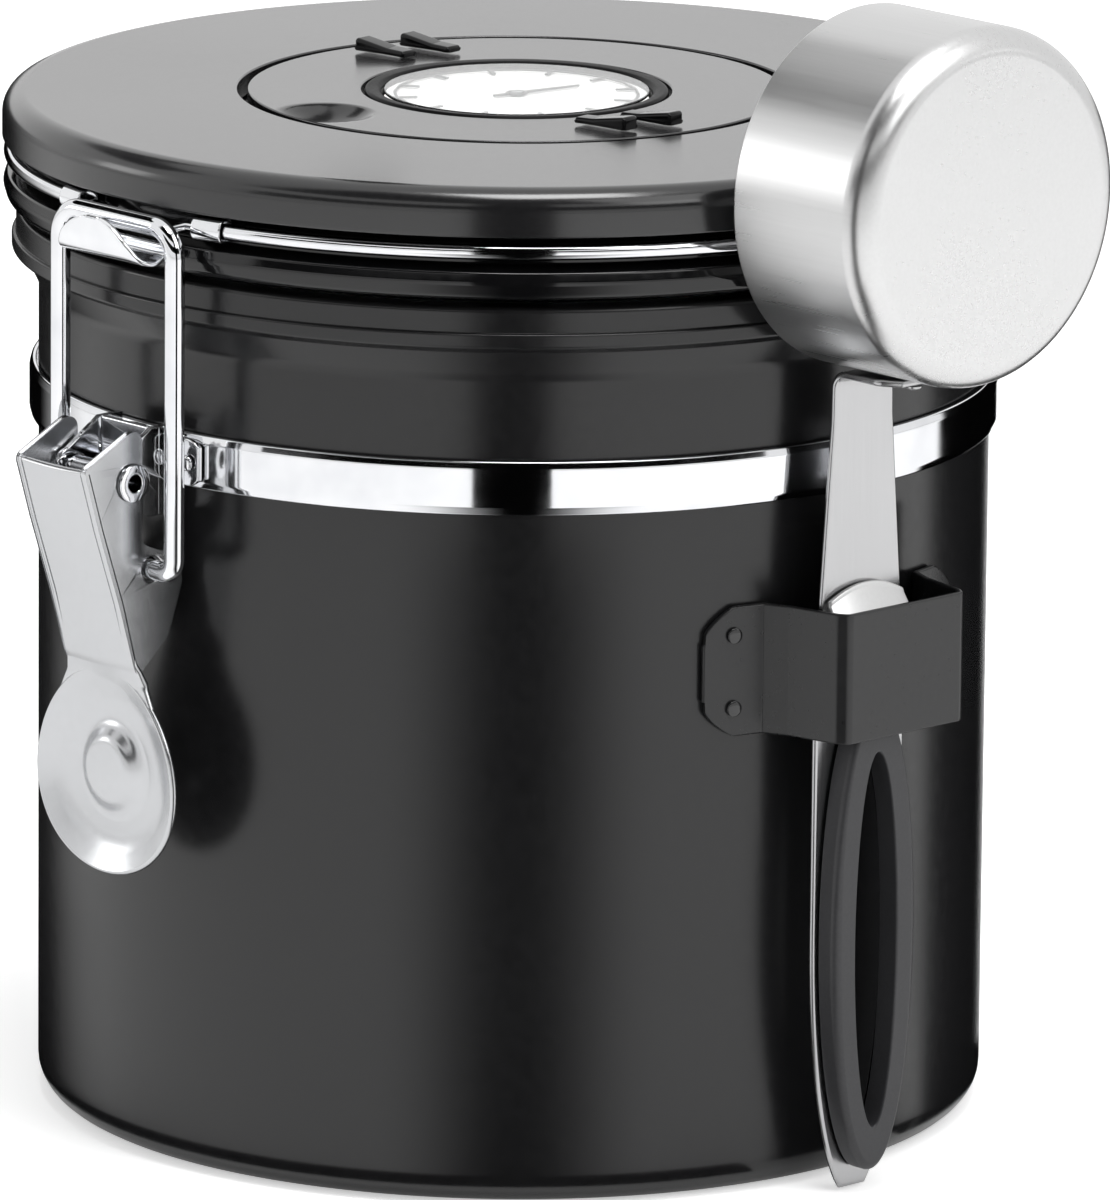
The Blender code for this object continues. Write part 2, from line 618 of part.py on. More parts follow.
def build_pivot_pin():
    body_end = LEVER_HALF_WIDTH + FIT_GAP
    end = body_end + PIN_HEAD_THICKNESS
    head = PIVOT_PIN_RADIUS + PIN_HEAD_OVERHANG
    bore = PIVOT_PIN_RADIUS - PIVOT_PIN_WALL
    profile = [(bore, -end), (head, -end), (head, -body_end), (PIVOT_PIN_RADIUS, -body_end)]
    profile += [(PIVOT_PIN_RADIUS, body_end), (head, body_end), (head, end), (bore, end)]
    centre = on_side(FRONT, PIVOT_DISTANCE, PIVOT_Z)
    lathe("latch_pivot_pin", profile, CHROME, None, centre, RIGHT, UP, SMALL_STEPS)


def build_lever(axis):
    foot, top = (WEB_FOOT_DISTANCE, WEB_FOOT_Z), (WEB_TOP_DISTANCE, WEB_TOP_Z)
    web = [top] + [(blend(foot[0], top[0], u), blend(foot[1], top[1], v)) for u, v in WEB_SHARES] + [foot]
    along, wide = SPOON_NECK_SHARES
    neck = (SPOON_DISTANCE + LEVER_SHEET, SPOON_Z + SPOON_HALF_HEIGHT * along)
    middle = [(u - LEVER_SHEET / 2, v) for u, v in web + [neck]]
    widths = [LEVER_HALF_WIDTH] * len(web) + [SPOON_HALF_WIDTH * wide]
    lever = ribbon("latch_lever", middle, widths, LEVER_SHEET, FRONT, UP, CHROME, axis)
    eye = BAIL_WIRE_RADIUS + FIT_GAP + LEVER_SHEET
    near, low = CHEEK_FOOT_SHARES
    cheek = [(u - LEVER_SHEET / 2, v) for u, v in web]
    cheek += [(blend(LOBE_DISTANCE, foot[0], near), blend(LOBE_Z, foot[1], low)), (LOBE_DISTANCE, LOBE_Z)]
    cheek += arc_points((BAIL_JOINT_DISTANCE, BAIL_JOINT_Z), eye, EYE_START, EYE_END)
    cheek += [(CHEEK_BACK_DISTANCE, BAIL_JOINT_Z + eye), (CHEEK_BACK_DISTANCE, CHEEK_TOP_Z)]
    inner = LEVER_HALF_WIDTH - LEVER_SHEET
    left = plate("lever_left_guide", cheek, FRONT, -LEVER_HALF_WIDTH, -inner, None)
    right = plate("lever_right_guide", cheek, FRONT, inner, LEVER_HALF_WIDTH, None)
    combine(lever, [left, right, spoon_guide()])
    cutters = []
    reach = LEVER_HALF_WIDTH + CUT_OVERRUN
    for name, rho, z, radius in (("pivot", PIVOT_DISTANCE, PIVOT_Z, PIVOT_PIN_RADIUS),
                                 ("bail", BAIL_JOINT_DISTANCE, BAIL_JOINT_Z, BAIL_WIRE_RADIUS)):
        bore = rod_outline(radius + FIT_GAP, reach)
        centre = on_side(FRONT, rho, z)
        cutters.append(lathe("lever_%s_bore_guide" % name, bore, None, None, centre, RIGHT, UP, SMALL_STEPS))
    combine(lever, cutters, "DIFFERENCE")


def spoon_guide():
    """The thumb plate: an egg-shaped dish that sinks from its rim and rises again to a small oval."""
    rim, dish, raised = SPOON_BOWL_SHARES
    sunk = [(1, 0), (rim, -SPOON_DISH / 4), (dish, -SPOON_DISH)]
    sunk += [(raised, SPOON_RAISE - SPOON_DISH), (0, SPOON_RAISE - SPOON_DISH)]
    outline = sunk[::-1] + [(radius, height + LEVER_SHEET) for radius, height in sunk]
    points, faces = turned(outline, Vector(), FRONT, RIGHT, 2 * SMALL_STEPS)
    egg = []
    for p in points:
        x = p.x * SPOON_HALF_WIDTH * (1 - SPOON_TAPER_SHARE * p.z)
        egg.append(Vector((x, p.y - SPOON_DISTANCE, SPOON_Z + p.z * SPOON_HALF_HEIGHT)))
    return add_object("lever_spoon_guide", egg, faces, None)


def build_bail(axis):
    inner_end = LEVER_HALF_WIDTH - LEVER_SHEET + FIT_GAP
    low, top, span = BAIL_JOINT_Z, BAIL_BAR_Z, BAIL_HALF_SPAN
    half = [(inner_end, low)]
    half += arc_points((span - BAIL_BEND / 2, low + BAIL_BEND / 2), BAIL_BEND / 2, -pi / 2, 0)
    half += arc_points((span - BAIL_BEND, top - BAIL_BEND), BAIL_BEND, 0, pi / 2)
    path = [(x, -BAIL_JOINT_DISTANCE, z) for x, z in half]
    path += [(-x, -BAIL_JOINT_DISTANCE, z) for x, z in reversed(half)]
    wire("latch_bail", path, BAIL_WIRE_RADIUS, CHROME, axis)


def knuckle(name, low, high, look, parent=None):
    bore = HINGE_PIN_RADIUS + FIT_GAP
    profile = [(bore, low), (KNUCKLE_RADIUS, low), (KNUCKLE_RADIUS, high), (bore, high)]
    return lathe(name, profile, look, parent, on_side(REAR, HINGE_DISTANCE, HINGE_Z), RIGHT, UP, SMALL_STEPS)


def hinge_bore_guide(name, reach):
    profile = rod_outline(HINGE_PIN_RADIUS + FIT_GAP, reach)
    return lathe(name, profile, None, None, on_side(REAR, HINGE_DISTANCE, HINGE_Z), RIGHT, UP, SMALL_STEPS)


def build_hinge_bracket():
    foot = BAND_RADIUS + FIT_GAP + HINGE_SHEET / 2
    stand = HINGE_DISTANCE - KNUCKLE_RADIUS + HINGE_SHEET / 2
    path = [(foot, HINGE_BRACKET_LOW), (foot, HINGE_JOG_LOW), (stand, HINGE_JOG_HIGH), (stand, HINGE_Z)]
    bracket = ribbon("hinge_bracket", path, [HINGE_HALF_WIDTH] * len(path), HINGE_SHEET, REAR, UP, CHROME)
    gap = LEAF_KNUCKLE_HALF_WIDTH + FIT_GAP
    room = KNUCKLE_RADIUS + CUT_OVERRUN
    notch = [(HINGE_DISTANCE - room, HINGE_Z - room), (HINGE_DISTANCE + room, HINGE_Z - room),
             (HINGE_DISTANCE + room, HINGE_Z + room), (HINGE_DISTANCE - room, HINGE_Z + room)]
    left = knuckle("hinge_left_guide", -HINGE_HALF_WIDTH, -gap, None)
    right = knuckle("hinge_right_guide", gap, HINGE_HALF_WIDTH, None)
    combine(bracket, [plate("hinge_notch_guide", notch, REAR, -gap, gap, None)], "DIFFERENCE")
    combine(bracket, [left, right])
    bore = hinge_bore_guide("hinge_bracket_bore_guide", HINGE_HALF_WIDTH + CUT_OVERRUN)
    combine(bracket, [bore], "DIFFERENCE")
    face = foot + HINGE_SHEET / 2 + FIT_GAP
    height = (BAND_LOW + BAND_TOP) / 2
    for side, sign in SIDES:
        place = on_side(REAR, face, height, -sign * (HINGE_HALF_WIDTH - HINGE_RIVET_INSET))
        rivet("hinge_rivet_" + side, place, REAR, CHROME)


def build_hinge_pin():
    body_end = HINGE_HALF_WIDTH + FIT_GAP
    end = body_end + PIN_HEAD_THICKNESS
    head = HINGE_PIN_RADIUS + PIN_HEAD_OVERHANG
    profile = [(0, -end), (head, -end), (head, -body_end), (HINGE_PIN_RADIUS, -body_end)]
    profile += [(HINGE_PIN_RADIUS, body_end), (head, body_end), (head, end), (0, end)]
    lathe("hinge_pin", profile, CHROME, None, on_side(REAR, HINGE_DISTANCE, HINGE_Z), RIGHT, UP, SMALL_STEPS)


def build_hinge_leaf(lid):
    seat = LID_RADIUS + FIT_GAP
    leaf = arc_plate("lid_hinge_leaf", seat, BRACKET_SHEET, LEAF_LOW, LEAF_TOP, REAR, HINGE_HALF_WIDTH / seat,
                     CHROME, lid)
    turn_in, over_out, over_up = LEAF_STRAP_SHARES
    path = [(seat + BRACKET_SHEET / 2, LEAF_STRAP_Z)]
    path += [(HINGE_DISTANCE - KNUCKLE_RADIUS * turn_in, LEAF_STRAP_Z)]
    path += [(HINGE_DISTANCE + KNUCKLE_RADIUS * over_out, HINGE_Z + KNUCKLE_RADIUS * over_up)]
    widths = [LEAF_KNUCKLE_HALF_WIDTH] * len(path)
    strap = ribbon("leaf_strap_guide", path, widths, BRACKET_SHEET, REAR, UP, None)
    roll = knuckle("leaf_knuckle_guide", -LEAF_KNUCKLE_HALF_WIDTH, LEAF_KNUCKLE_HALF_WIDTH, None)
    combine(leaf, [strap, roll])
    combine(leaf, [hinge_bore_guide("leaf_bore_guide", LEAF_KNUCKLE_HALF_WIDTH + CUT_OVERRUN)], "DIFFERENCE")


def build_lid_shell(lid):
    outer = [(LID_RADIUS, LID_LOW)]
    outer += arc_points((LID_RADIUS - LID_ROUND, LID_TOP - LID_ROUND), LID_ROUND, 0, pi / 2)
    cutout = DATE_CUTOUT_RADIUS
    outer += [(cutout + CUTOUT_CHAMFER, LID_TOP), (cutout, LID_TOP - CUTOUT_CHAMFER)]
    outer += [(cutout, DECK_TOP + FIT_GAP)]
    inner_top = LID_TOP - LID_WALL
    inner = [(cutout + LID_WALL, DECK_TOP + FIT_GAP), (cutout + LID_WALL, inner_top)]
    inner_round = LID_ROUND - LID_WALL
    centre = (LID_RADIUS - LID_ROUND, inner_top - inner_round)
    inner += arc_points(centre, inner_round, pi / 2, 0)
    lathe("lid_shell", outer + inner + [(LID_RADIUS - LID_WALL, LID_LOW)], CHARCOAL_PAINT, lid)


def build_lid_base(lid):
    bulge, height = SKIRT_RADIUS - WIRE_GROOVE_RADIUS, SKIRT_WIDEST - SKIRT_LOW
    profile = [(PLUG_RADIUS, SKIRT_LOW), (WIRE_GROOVE_RADIUS, SKIRT_LOW)]
    profile += [(WIRE_GROOVE_RADIUS + bulge * r, SKIRT_LOW + height * z) for r, z in SKIRT_SHARES]
    profile += [(SKIRT_RADIUS, SKIRT_WIDEST), (WIRE_GROOVE_RADIUS + bulge * SKIRT_TOP_SHARE, SKIRT_TOP)]
    profile += [(WIRE_GROOVE_RADIUS, WIRE_GROOVE_LOW), (WIRE_GROOVE_RADIUS, DECK_TOP)]
    profile += [(VALVE_RADIUS + FIT_GAP, DECK_TOP), (VALVE_RADIUS + FIT_GAP, DECK_TOP - DECK_THICKNESS)]
    profile += [(PLUG_RADIUS - PLUG_WALL, DECK_TOP - DECK_THICKNESS), (PLUG_RADIUS - PLUG_WALL, PLUG_LOW)]
    seat = PLUG_RADIUS - GASKET_THICKNESS
    profile += [(seat, PLUG_LOW), (seat, SKIRT_LOW - FIT_GAP), (PLUG_RADIUS, SKIRT_LOW - FIT_GAP)]
    lathe("lid_base", profile, BLACK_PLASTIC, lid)


def build_gasket(lid):
    inner = PLUG_RADIUS - GASKET_THICKNESS + FIT_GAP
    lip = MOUTH_RADIUS - FIT_GAP
    top = GASKET_LOW + GASKET_HEIGHT
    profile = [(inner, GASKET_LOW), (lip - GASKET_LIP, GASKET_LOW)]
    profile += [(lip, blend(GASKET_LOW, top, GASKET_LIP_SHARE)), (lip - GASKET_LIP, top), (inner, top)]
    lathe("lid_gasket", profile, SILICONE, lid)


def build_wire_ring(lid):
    path = []
    for k in range(ROUND_STEPS + 1):
        angle = blend(RING_GAP_ANGLE, 2 * pi - RING_GAP_ANGLE, k / ROUND_STEPS)
        path.append(front_angle(angle) * RING_WIRE_CENTRE + UP * RING_WIRE_Z)
    wire("lid_ring_wire", path, RING_WIRE_RADIUS, CHROME, lid, 6)
    half = FERRULE_LENGTH / 2
    bore = RING_WIRE_RADIUS + FIT_GAP
    profile = [(bore, -half), (FERRULE_RADIUS, -half), (FERRULE_RADIUS, half), (bore, half)]
    for side, sign in SIDES:
        out = front_angle(sign * RING_GAP_ANGLE)
        centre = out * RING_WIRE_CENTRE + UP * RING_WIRE_Z
        lathe("ring_ferrule_" + side, profile, CHROME, lid, centre, UP.cross(out), UP, SMALL_STEPS)


def build_catch(lid):
    half = []
    for k in range(CORNER_STEPS):
        share = k / (CORNER_STEPS - 1)
        x = blend(RING_WIRE_CENTRE * sin(RING_GAP_ANGLE) - FIT_GAP, CATCH_WIRE_BEND_X, share)
        half.append((x, -sqrt(RING_WIRE_CENTRE ** 2 - x ** 2), RING_WIRE_Z))
    half.append((CATCH_WIRE_END_X, -CATCH_WIRE_END_DISTANCE, CATCH_WIRE_END_Z))
    path = half + [(-x, y, z) for x, y, z in reversed(half)]
    wire("catch_wire", path, CATCH_WIRE_RADIUS, CHROME, lid)
    root, trough = (CATCH_ROOT_DISTANCE, CATCH_ROOT_Z), (CATCH_TROUGH_DISTANCE, CATCH_TROUGH_Z)
    lip = (CATCH_LIP_DISTANCE, CATCH_LIP_Z)
    out, down = CATCH_FALL_SHARES
    path = [root, (blend(root[0], trough[0], out), blend(root[1], trough[1], down)), trough]
    widths = [CATCH_ROOT_HALF_WIDTH, CATCH_HALF_WIDTH, CATCH_HALF_WIDTH]
    for out, rise, narrow in CATCH_RISE_SHARES:
        path.append((blend(trough[0], lip[0], out), blend(trough[1], lip[1], rise)))
        widths.append(blend(CATCH_HALF_WIDTH, CATCH_TIP_HALF_WIDTH, narrow))
    ribbon("catch_hook", path, widths, CATCH_SHEET, FRONT, UP, CHROME, lid)


def build_date_ring(axis):
    low, top = DECK_TOP + FIT_GAP, LID_TOP
    lip = low + DATE_RING_LIP
    profile = [(DATE_RING_BORE, low), (DATE_RING_RADIUS, low), (DATE_RING_RADIUS, top - DATE_RING_EDGE)]
    profile += [(DATE_RING_RADIUS - DATE_RING_EDGE, top), (DATE_RING_STEP, top), (DATE_RING_STEP, lip)]
    ring = lathe("date_ring", profile + [(DATE_RING_BORE, lip)], CHARCOAL_PAINT, axis)
    ball = (DIMPLE_RADIUS ** 2 + DIMPLE_DEPTH ** 2) / (2 * DIMPLE_DEPTH)
    rise = ball - DIMPLE_DEPTH
    centre = Vector((cos(DIMPLE_ANGLE), sin(DIMPLE_ANGLE), 0)) * DIMPLE_CENTRE + UP * (top + rise)
    edge = atan2(DIMPLE_RADIUS + CUTOUT_CHAMFER, rise)
    turns = [edge * k / CORNER_STEPS for k in range(CORNER_STEPS + 1)]
    profile = [(ball * sin(turn), -ball * cos(turn)) for turn in turns]
    profile += [(profile[-1][0], 0), (0, 0)]
    bowl = lathe("dimple_guide", profile, None, None, centre, UP, RIGHT, SMALL_STEPS)
    combine(ring, [bowl], "DIFFERENCE")


def build_ring_grips(axis):
    low = LID_TOP + FIT_GAP
    width = GRIP_BAR_WIDTH / 2
    bar = [(-GRIP_BAR_LENGTH / 2, low), (GRIP_BAR_LENGTH / 2, low)]
    bar += [(GRIP_BAR_LENGTH / 2 * u, low + GRIP_BAR_HEIGHT * v) for u, v in GRIP_BAR_SHARES]
    count = len(bar)
    for number, pair in enumerate((0, pi)):
        for side, sign in SIDES:
            middle = GRIP_PAIR_ANGLE + pair
            out = Vector((cos(middle), sin(middle), 0))
            centre = out * GRIP_BAR_CENTRE + UP.cross(out) * sign * GRIP_BAR_SPACING / 2
            turn = middle + GRIP_BAR_SKEW
            along = Vector((cos(turn), sin(turn), 0))
            across = UP.cross(along)
            points = [centre + along * u + UP * z + across * w for w in (-width, width) for u, z in bar]
            faces = [list(range(count)), list(range(count, 2 * count))]
            faces += [[k, (k + 1) % count, (k + 1) % count + count, k + count] for k in range(count)]
            add_object("date_grip_%s_%d" % (side, number + 1), points, faces, BLACK_PLASTIC, axis)


def build_dial(lid, hand_axis):
    low = DECK_TOP + FIT_GAP
    ledge = low + BEZEL_LEDGE_HEIGHT
    under = BEZEL_TOP - BEZEL_FLANGE
    profile = [(BEZEL_LEDGE, low), (BEZEL_SKIRT, low), (BEZEL_SKIRT, under), (BEZEL_RADIUS, under)]
    profile += [(BEZEL_RADIUS, BEZEL_TOP - BEZEL_EDGE), (BEZEL_RADIUS - BEZEL_EDGE, BEZEL_TOP)]
    profile += [(BEZEL_BORE + BEZEL_EDGE, BEZEL_TOP), (BEZEL_BORE, BEZEL_TOP - BEZEL_EDGE)]
    profile += [(BEZEL_BORE, ledge), (BEZEL_LEDGE, ledge)]
    lathe("dial_bezel", profile, BLACK_PLASTIC, lid, steps=DIAL_STEPS)
    face_low = ledge + FIT_GAP
    face_top = face_low + FACE_THICKNESS
    edge = BEZEL_BORE - FIT_GAP
    eye = SPINDLE_RADIUS + FIT_GAP
    profile = [(eye, face_low), (edge, face_low), (edge, face_top), (eye, face_top)]
    lathe("dial_face", profile, WHITE_PRINT, lid, steps=DIAL_STEPS)
    print_low = face_top + PRINT_GAP
    build_ticks(lid, print_low)
    hand_low = face_top + PRINT_GAP
    build_hand(hand_axis, hand_low, eye)
    hand_top = hand_low + HAND_THICKNESS
    profile = [(0, low), (SPINDLE_RADIUS, low), (SPINDLE_RADIUS, hand_top), (0, hand_top)]
    lathe("dial_spindle", profile, STEEL, lid, steps=SMALL_STEPS)
    lens_low = hand_top + FIT_GAP
    lens_top = lens_low + LENS_THICKNESS
    profile = [(0, lens_low), (edge, lens_low), (edge, lens_top), (0, lens_top)]
    lathe("dial_lens", profile, CLEAR, lid, steps=DIAL_STEPS)


def build_ticks(lid, low):
    """A thin ring with a tick pointing inwards at each division, printed on the face."""
    inner, outer = [], []
    for k in range(TICK_COUNT):
        middle = 2 * pi * k / TICK_COUNT
        half = TICK_WIDTH / 2 / TICK_OUTER
        for turn, radius in ((-half, TICK_OUTER), (-half, TICK_INNER), (half, TICK_INNER), (half, TICK_OUTER),
                             (pi / TICK_COUNT, TICK_OUTER)):
            inner.append((radius * cos(middle + turn), radius * sin(middle + turn)))
            outer.append((TICK_RING * cos(middle + turn), TICK_RING * sin(middle + turn)))
    high = low + TICK_HEIGHT
    loops = [(low, outer), (high, outer), (high, inner), (low, inner)]
    points = [(x, y, z) for z, loop in loops for x, y in loop]
    add_object("dial_ticks", points, ring_faces(len(loops), len(inner)), BLACK_PLASTIC, lid)


def build_hand(axis, low, eye):
    out = Vector((cos(HAND_ANGLE), sin(HAND_ANGLE), 0))
    top = low + HAND_THICKNESS
    profile = [(eye, low), (HAND_HUB, low), (HAND_HUB, top), (eye, top)]
    hand = lathe("dial_hand", profile, BLACK_PLASTIC, axis, axis=UP, side=RIGHT, steps=SMALL_STEPS)
    inner = (eye + HAND_HUB) / 2
    blades = []
    for name, way, length in (("hand_blade_guide", 1, HAND_LENGTH), ("hand_tail_guide", -1, HAND_TAIL)):
        outline = [(way * inner, -HAND_WIDTH / 2), (way * length, -HAND_WIDTH / 2),
                   (way * length, HAND_WIDTH / 2), (way * inner, HAND_WIDTH / 2)]
        blades.append(plate(name, outline, out, low, top, None, None, out.cross(UP)))
    combine(hand, blades)


def build_valve(lid, flap_axis):
    under = DECK_TOP - DECK_THICKNESS - FIT_GAP
    seat = VALVE_LOW + VALVE_FLOOR
    profile = [(VALVE_PORT, VALVE_LOW), (VALVE_FLANGE, VALVE_LOW), (VALVE_FLANGE, VALVE_LOW + VALVE_FLOOR)]
    profile += [(VALVE_FLANGE, under - VALVE_FLANGE_THICKNESS / 2), (VALVE_FLANGE - VALVE_FLOOR / 2, under)]
    profile += [(VALVE_RADIUS, under), (VALVE_RADIUS, DECK_TOP), (VALVE_CHAMBER, DECK_TOP)]
    profile += [(VALVE_CHAMBER, seat), (VALVE_PORT, seat)]
    lathe("valve_body", profile, BLACK_PLASTIC, lid, steps=2 * SMALL_STEPS)
    flap_low = seat + FIT_GAP
    flap_top = flap_low + FLAP_THICKNESS
    profile = [(0, flap_low), (FLAP_RADIUS, flap_low), (FLAP_RADIUS, flap_top), (0, flap_top)]
    lathe("valve_flap", profile, SILICONE, flap_axis, steps=2 * SMALL_STEPS)
    cap_radius = VALVE_CHAMBER - FIT_GAP
    cap_low = DECK_TOP - CAP_THICKNESS
    profile = [(CAP_PORT, cap_low), (cap_radius, cap_low), (cap_radius, DECK_TOP), (CAP_PORT, DECK_TOP)]
    lathe("valve_cap", profile, BLACK_PLASTIC, lid, steps=2 * SMALL_STEPS)


def strip_back():
    """The handle strip runs just outside the lid, so that the scoop lifts straight up."""
    return LID_RADIUS + FIT_GAP


def grip_back():
    return strip_back() + STRIP_THICKNESS + FIT_GAP


def build_scoop_bracket():
    foot = BODY_RADIUS + FIT_GAP + BRACKET_SHEET / 2
    plate_out = grip_back() + GRIP_THICKNESS + TUNNEL_DEPTH_CLEARANCE + BRACKET_SHEET / 2
    half = SCOOP_BRACKET_HALF_WIDTH - BRACKET_SHEET / 2
    tall = SCOOP_BRACKET_HALF_HEIGHT
    wall_foot = (SCOOP_BRACKET_HALF_WIDTH + WALL_FOOT_SPREAD) / foot
    straight = wall_foot + SCOOP_STRAIGHT_SPREAD / foot
    flange_end = straight + SCOOP_FLANGE_SPREAD / foot
    side = []
    for share in SCOOP_FLANGE_SHARES:
        angle = blend(flange_end, straight, share)
        height = blend(tall * SCOOP_FLANGE_END_SHARE, tall, sqrt(share))
        side.append(((foot * cos(angle), foot * sin(angle)), height))
    near, far = TUNNEL_WALL_SHARES
    side.append(((foot * cos(wall_foot), foot * sin(wall_foot)), tall))
    side.append(((blend(foot, plate_out, near), half + TUNNEL_WALL_SPREAD), tall))
    side.append(((blend(foot, plate_out, far), half), tall))
    side.append(((plate_out, half - BRACKET_SHEET), tall))
    path = [place for place, _ in side] + [(u, -v) for (u, v), _ in reversed(side)]
    widths = [width for _, width in side] + [width for _, width in reversed(side)]
    ribbon("scoop_bracket", path, widths, BRACKET_SHEET, RIGHT, FRONT, BLACK_PAINT, shift=SCOOP_BRACKET_Z)
    face = foot + BRACKET_SHEET / 2 + FIT_GAP
    for side, sign in SIDES:
        out = Vector((cos(straight), sign * sin(straight), 0))
        for level, rise in (("low", -SCOOP_WELD_RISE), ("high", SCOOP_WELD_RISE)):
            place = out * face + UP * (SCOOP_BRACKET_Z + rise)
            rivet("scoop_weld_%s_%s" % (side, level), place, out, CHROME, None, RIVET_HEIGHT / 2)


def build_cup(axis):
    rim = strip_back() + FIT_GAP
    inner = CUP_RADIUS - CUP_WALL
    inner_edge = CUP_EDGE - CUP_WALL
    profile = [(0, CUP_DEPTH)]
    profile += arc_points((CUP_RADIUS - CUP_EDGE, CUP_DEPTH - CUP_EDGE), CUP_EDGE, pi / 2, 0)
    profile += [(CUP_RADIUS, 0), (inner, 0)]
    profile += arc_points((inner - inner_edge, CUP_DEPTH - CUP_WALL - inner_edge), inner_edge, 0, pi / 2)
    profile += [(0, CUP_DEPTH - CUP_WALL)]
    lathe("scoop_cup", profile, STEEL, axis, on_side(RIGHT, rim, CUP_Z, SCOOP_OFFSET), RIGHT, UP, CUP_STEPS)


def tab_middle():
    return CUP_Z - CUP_RADIUS - FIT_GAP - STRIP_THICKNESS / 2


def leaf(half_width, low, top, steps=SMALL_STEPS * 2):
    """A pointed oval, as (sideways, up) points centred on the scoop: an ellipse from low to top."""
    middle, reach = (low + top) / 2, (top - low) / 2
    turns = [2 * pi * k / steps for k in range(steps)]
    return [(SCOOP_OFFSET + half_width * cos(turn), middle + reach * sin(turn)) for turn in turns]


def build_handle(axis):
    rho, z = strip_back() + STRIP_THICKNESS / 2, tab_middle()
    widest = (GRIP_LOW + GRIP_TOP) / 2
    path, widths = [], []
    for k in range(SMALL_STEPS // 2 + 1):
        turn = blend(STRIP_TIP_ANGLE, pi / 2, 2 * k / SMALL_STEPS)
        path.append((rho, widest - (widest - STRIP_LOW) * cos(turn) / cos(STRIP_TIP_ANGLE)))
        widths.append(STRIP_HALF_WIDTH * sin(turn))
    path += [(rho, GRIP_TOP), (rho, STRIP_SHOULDER_Z)]
    widths += [STRIP_HALF_WIDTH, STRIP_SHOULDER_HALF_WIDTH]
    bend = arc_points((rho + TAB_BEND, z - TAB_BEND), TAB_BEND, pi, pi / 2)
    taper, tip = TAB_TAPER_SHARES
    path += bend + [(rho + TAB_LENGTH * taper, z), (rho + TAB_LENGTH, z)]
    widths += [STRIP_NECK_HALF_WIDTH] * (len(bend) + 1) + [STRIP_NECK_HALF_WIDTH * tip]
    handle = ribbon("scoop_handle", path, widths, STRIP_THICKNESS, RIGHT, UP, STEEL, axis, shift=SCOOP_OFFSET)
    low = strip_back() - CUT_OVERRUN
    high = strip_back() + STRIP_THICKNESS + CUT_OVERRUN
    outline = [(v, u) for u, v in leaf(SLOT_HALF_WIDTH, SLOT_LOW, SLOT_TOP)]
    slot = plate("handle_slot_guide", outline, UP, low, high, None, None, REAR)
    combine(handle, [slot], "DIFFERENCE")
    under = z - STRIP_THICKNESS / 2 - FIT_GAP
    for number, share in enumerate(TAB_RIVET_PLACE_SHARES):
        place = on_side(RIGHT, rho + TAB_LENGTH * share, under, SCOOP_OFFSET)
        rivet("scoop_rivet_%d" % (number + 1), place, -UP, STEEL, axis)


def build_grip(axis):
    back, front = grip_back(), grip_back() + GRIP_THICKNESS
    outer = leaf(GRIP_HALF_WIDTH, GRIP_LOW, GRIP_TOP)
    edge = leaf(GRIP_HALF_WIDTH - GRIP_EDGE, GRIP_LOW + GRIP_EDGE, GRIP_TOP - GRIP_EDGE)
    inner = leaf(SLOT_HALF_WIDTH, SLOT_LOW, SLOT_TOP)
    loops = [(back, outer), (front - GRIP_EDGE, outer), (front, edge), (front, inner), (back, inner)]
    points = [(x, y, z) for x, loop in loops for y, z in loop]
    add_object("scoop_grip", points, ring_faces(len(loops), len(outer)), BLACK_PLASTIC, axis)


def build_ferrule(axis):
    low, half, back = GRIP_TOP + FIT_GAP, STRIP_SHOULDER_HALF_WIDTH, grip_back()
    shoulder = FERRULE_PLATE_TOP - FERRULE_PLATE_ARCH
    outline = [(low, SCOOP_OFFSET - half), (low, SCOOP_OFFSET + half)]
    for k in range(2 * CORNER_STEPS + 1):
        turn = pi * k / (2 * CORNER_STEPS)
        outline.append((shoulder + FERRULE_PLATE_ARCH * sin(turn), SCOOP_OFFSET + half * cos(turn)))
    plate("scoop_ferrule", outline, UP, back, back + FERRULE_PLATE_THICKNESS, STEEL, axis, REAR)


def build_canister():
    clear_scene()
    build_body()
    build_band()
    build_latch_bracket()
    build_pivot_pin()
    build_lever(add_axis("latch_lever_axis", on_side(FRONT, PIVOT_DISTANCE, PIVOT_Z)))
    build_bail(add_axis("latch_bail_axis", on_side(FRONT, BAIL_JOINT_DISTANCE, BAIL_JOINT_Z)))
    build_hinge_bracket()
    build_hinge_pin()
    lid = add_axis("lid_axis", on_side(REAR, HINGE_DISTANCE, HINGE_Z))
    build_hinge_leaf(lid)
    build_lid_shell(lid)
    build_lid_base(lid)
    build_gasket(lid)
    build_wire_ring(lid)
    build_catch(lid)
    dial_axis = add_axis("date_ring_axis", UP * LID_TOP)
    build_date_ring(dial_axis)
    build_ring_grips(dial_axis)
    build_dial(lid, add_axis("dial_hand_axis", UP * LID_TOP))
    build_valve(lid, add_axis("valve_flap_axis", UP * VALVE_LOW))
    build_scoop_bracket()
    scoop = add_axis("scoop_axis", on_side(RIGHT, strip_back(), SCOOP_BRACKET_Z, SCOOP_OFFSET))
    build_cup(scoop)
    build_handle(scoop)
    build_grip(scoop)
    build_ferrule(scoop)


build_canister()
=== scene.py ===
# Food canister with a latched lid, a date dial and a scoop: the looks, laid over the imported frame
from math import cos, pi, radians, sin

import bmesh
import bpy
import numpy as np
from mathutils import Matrix, Vector
from mathutils.geometry import tessellate_polygon


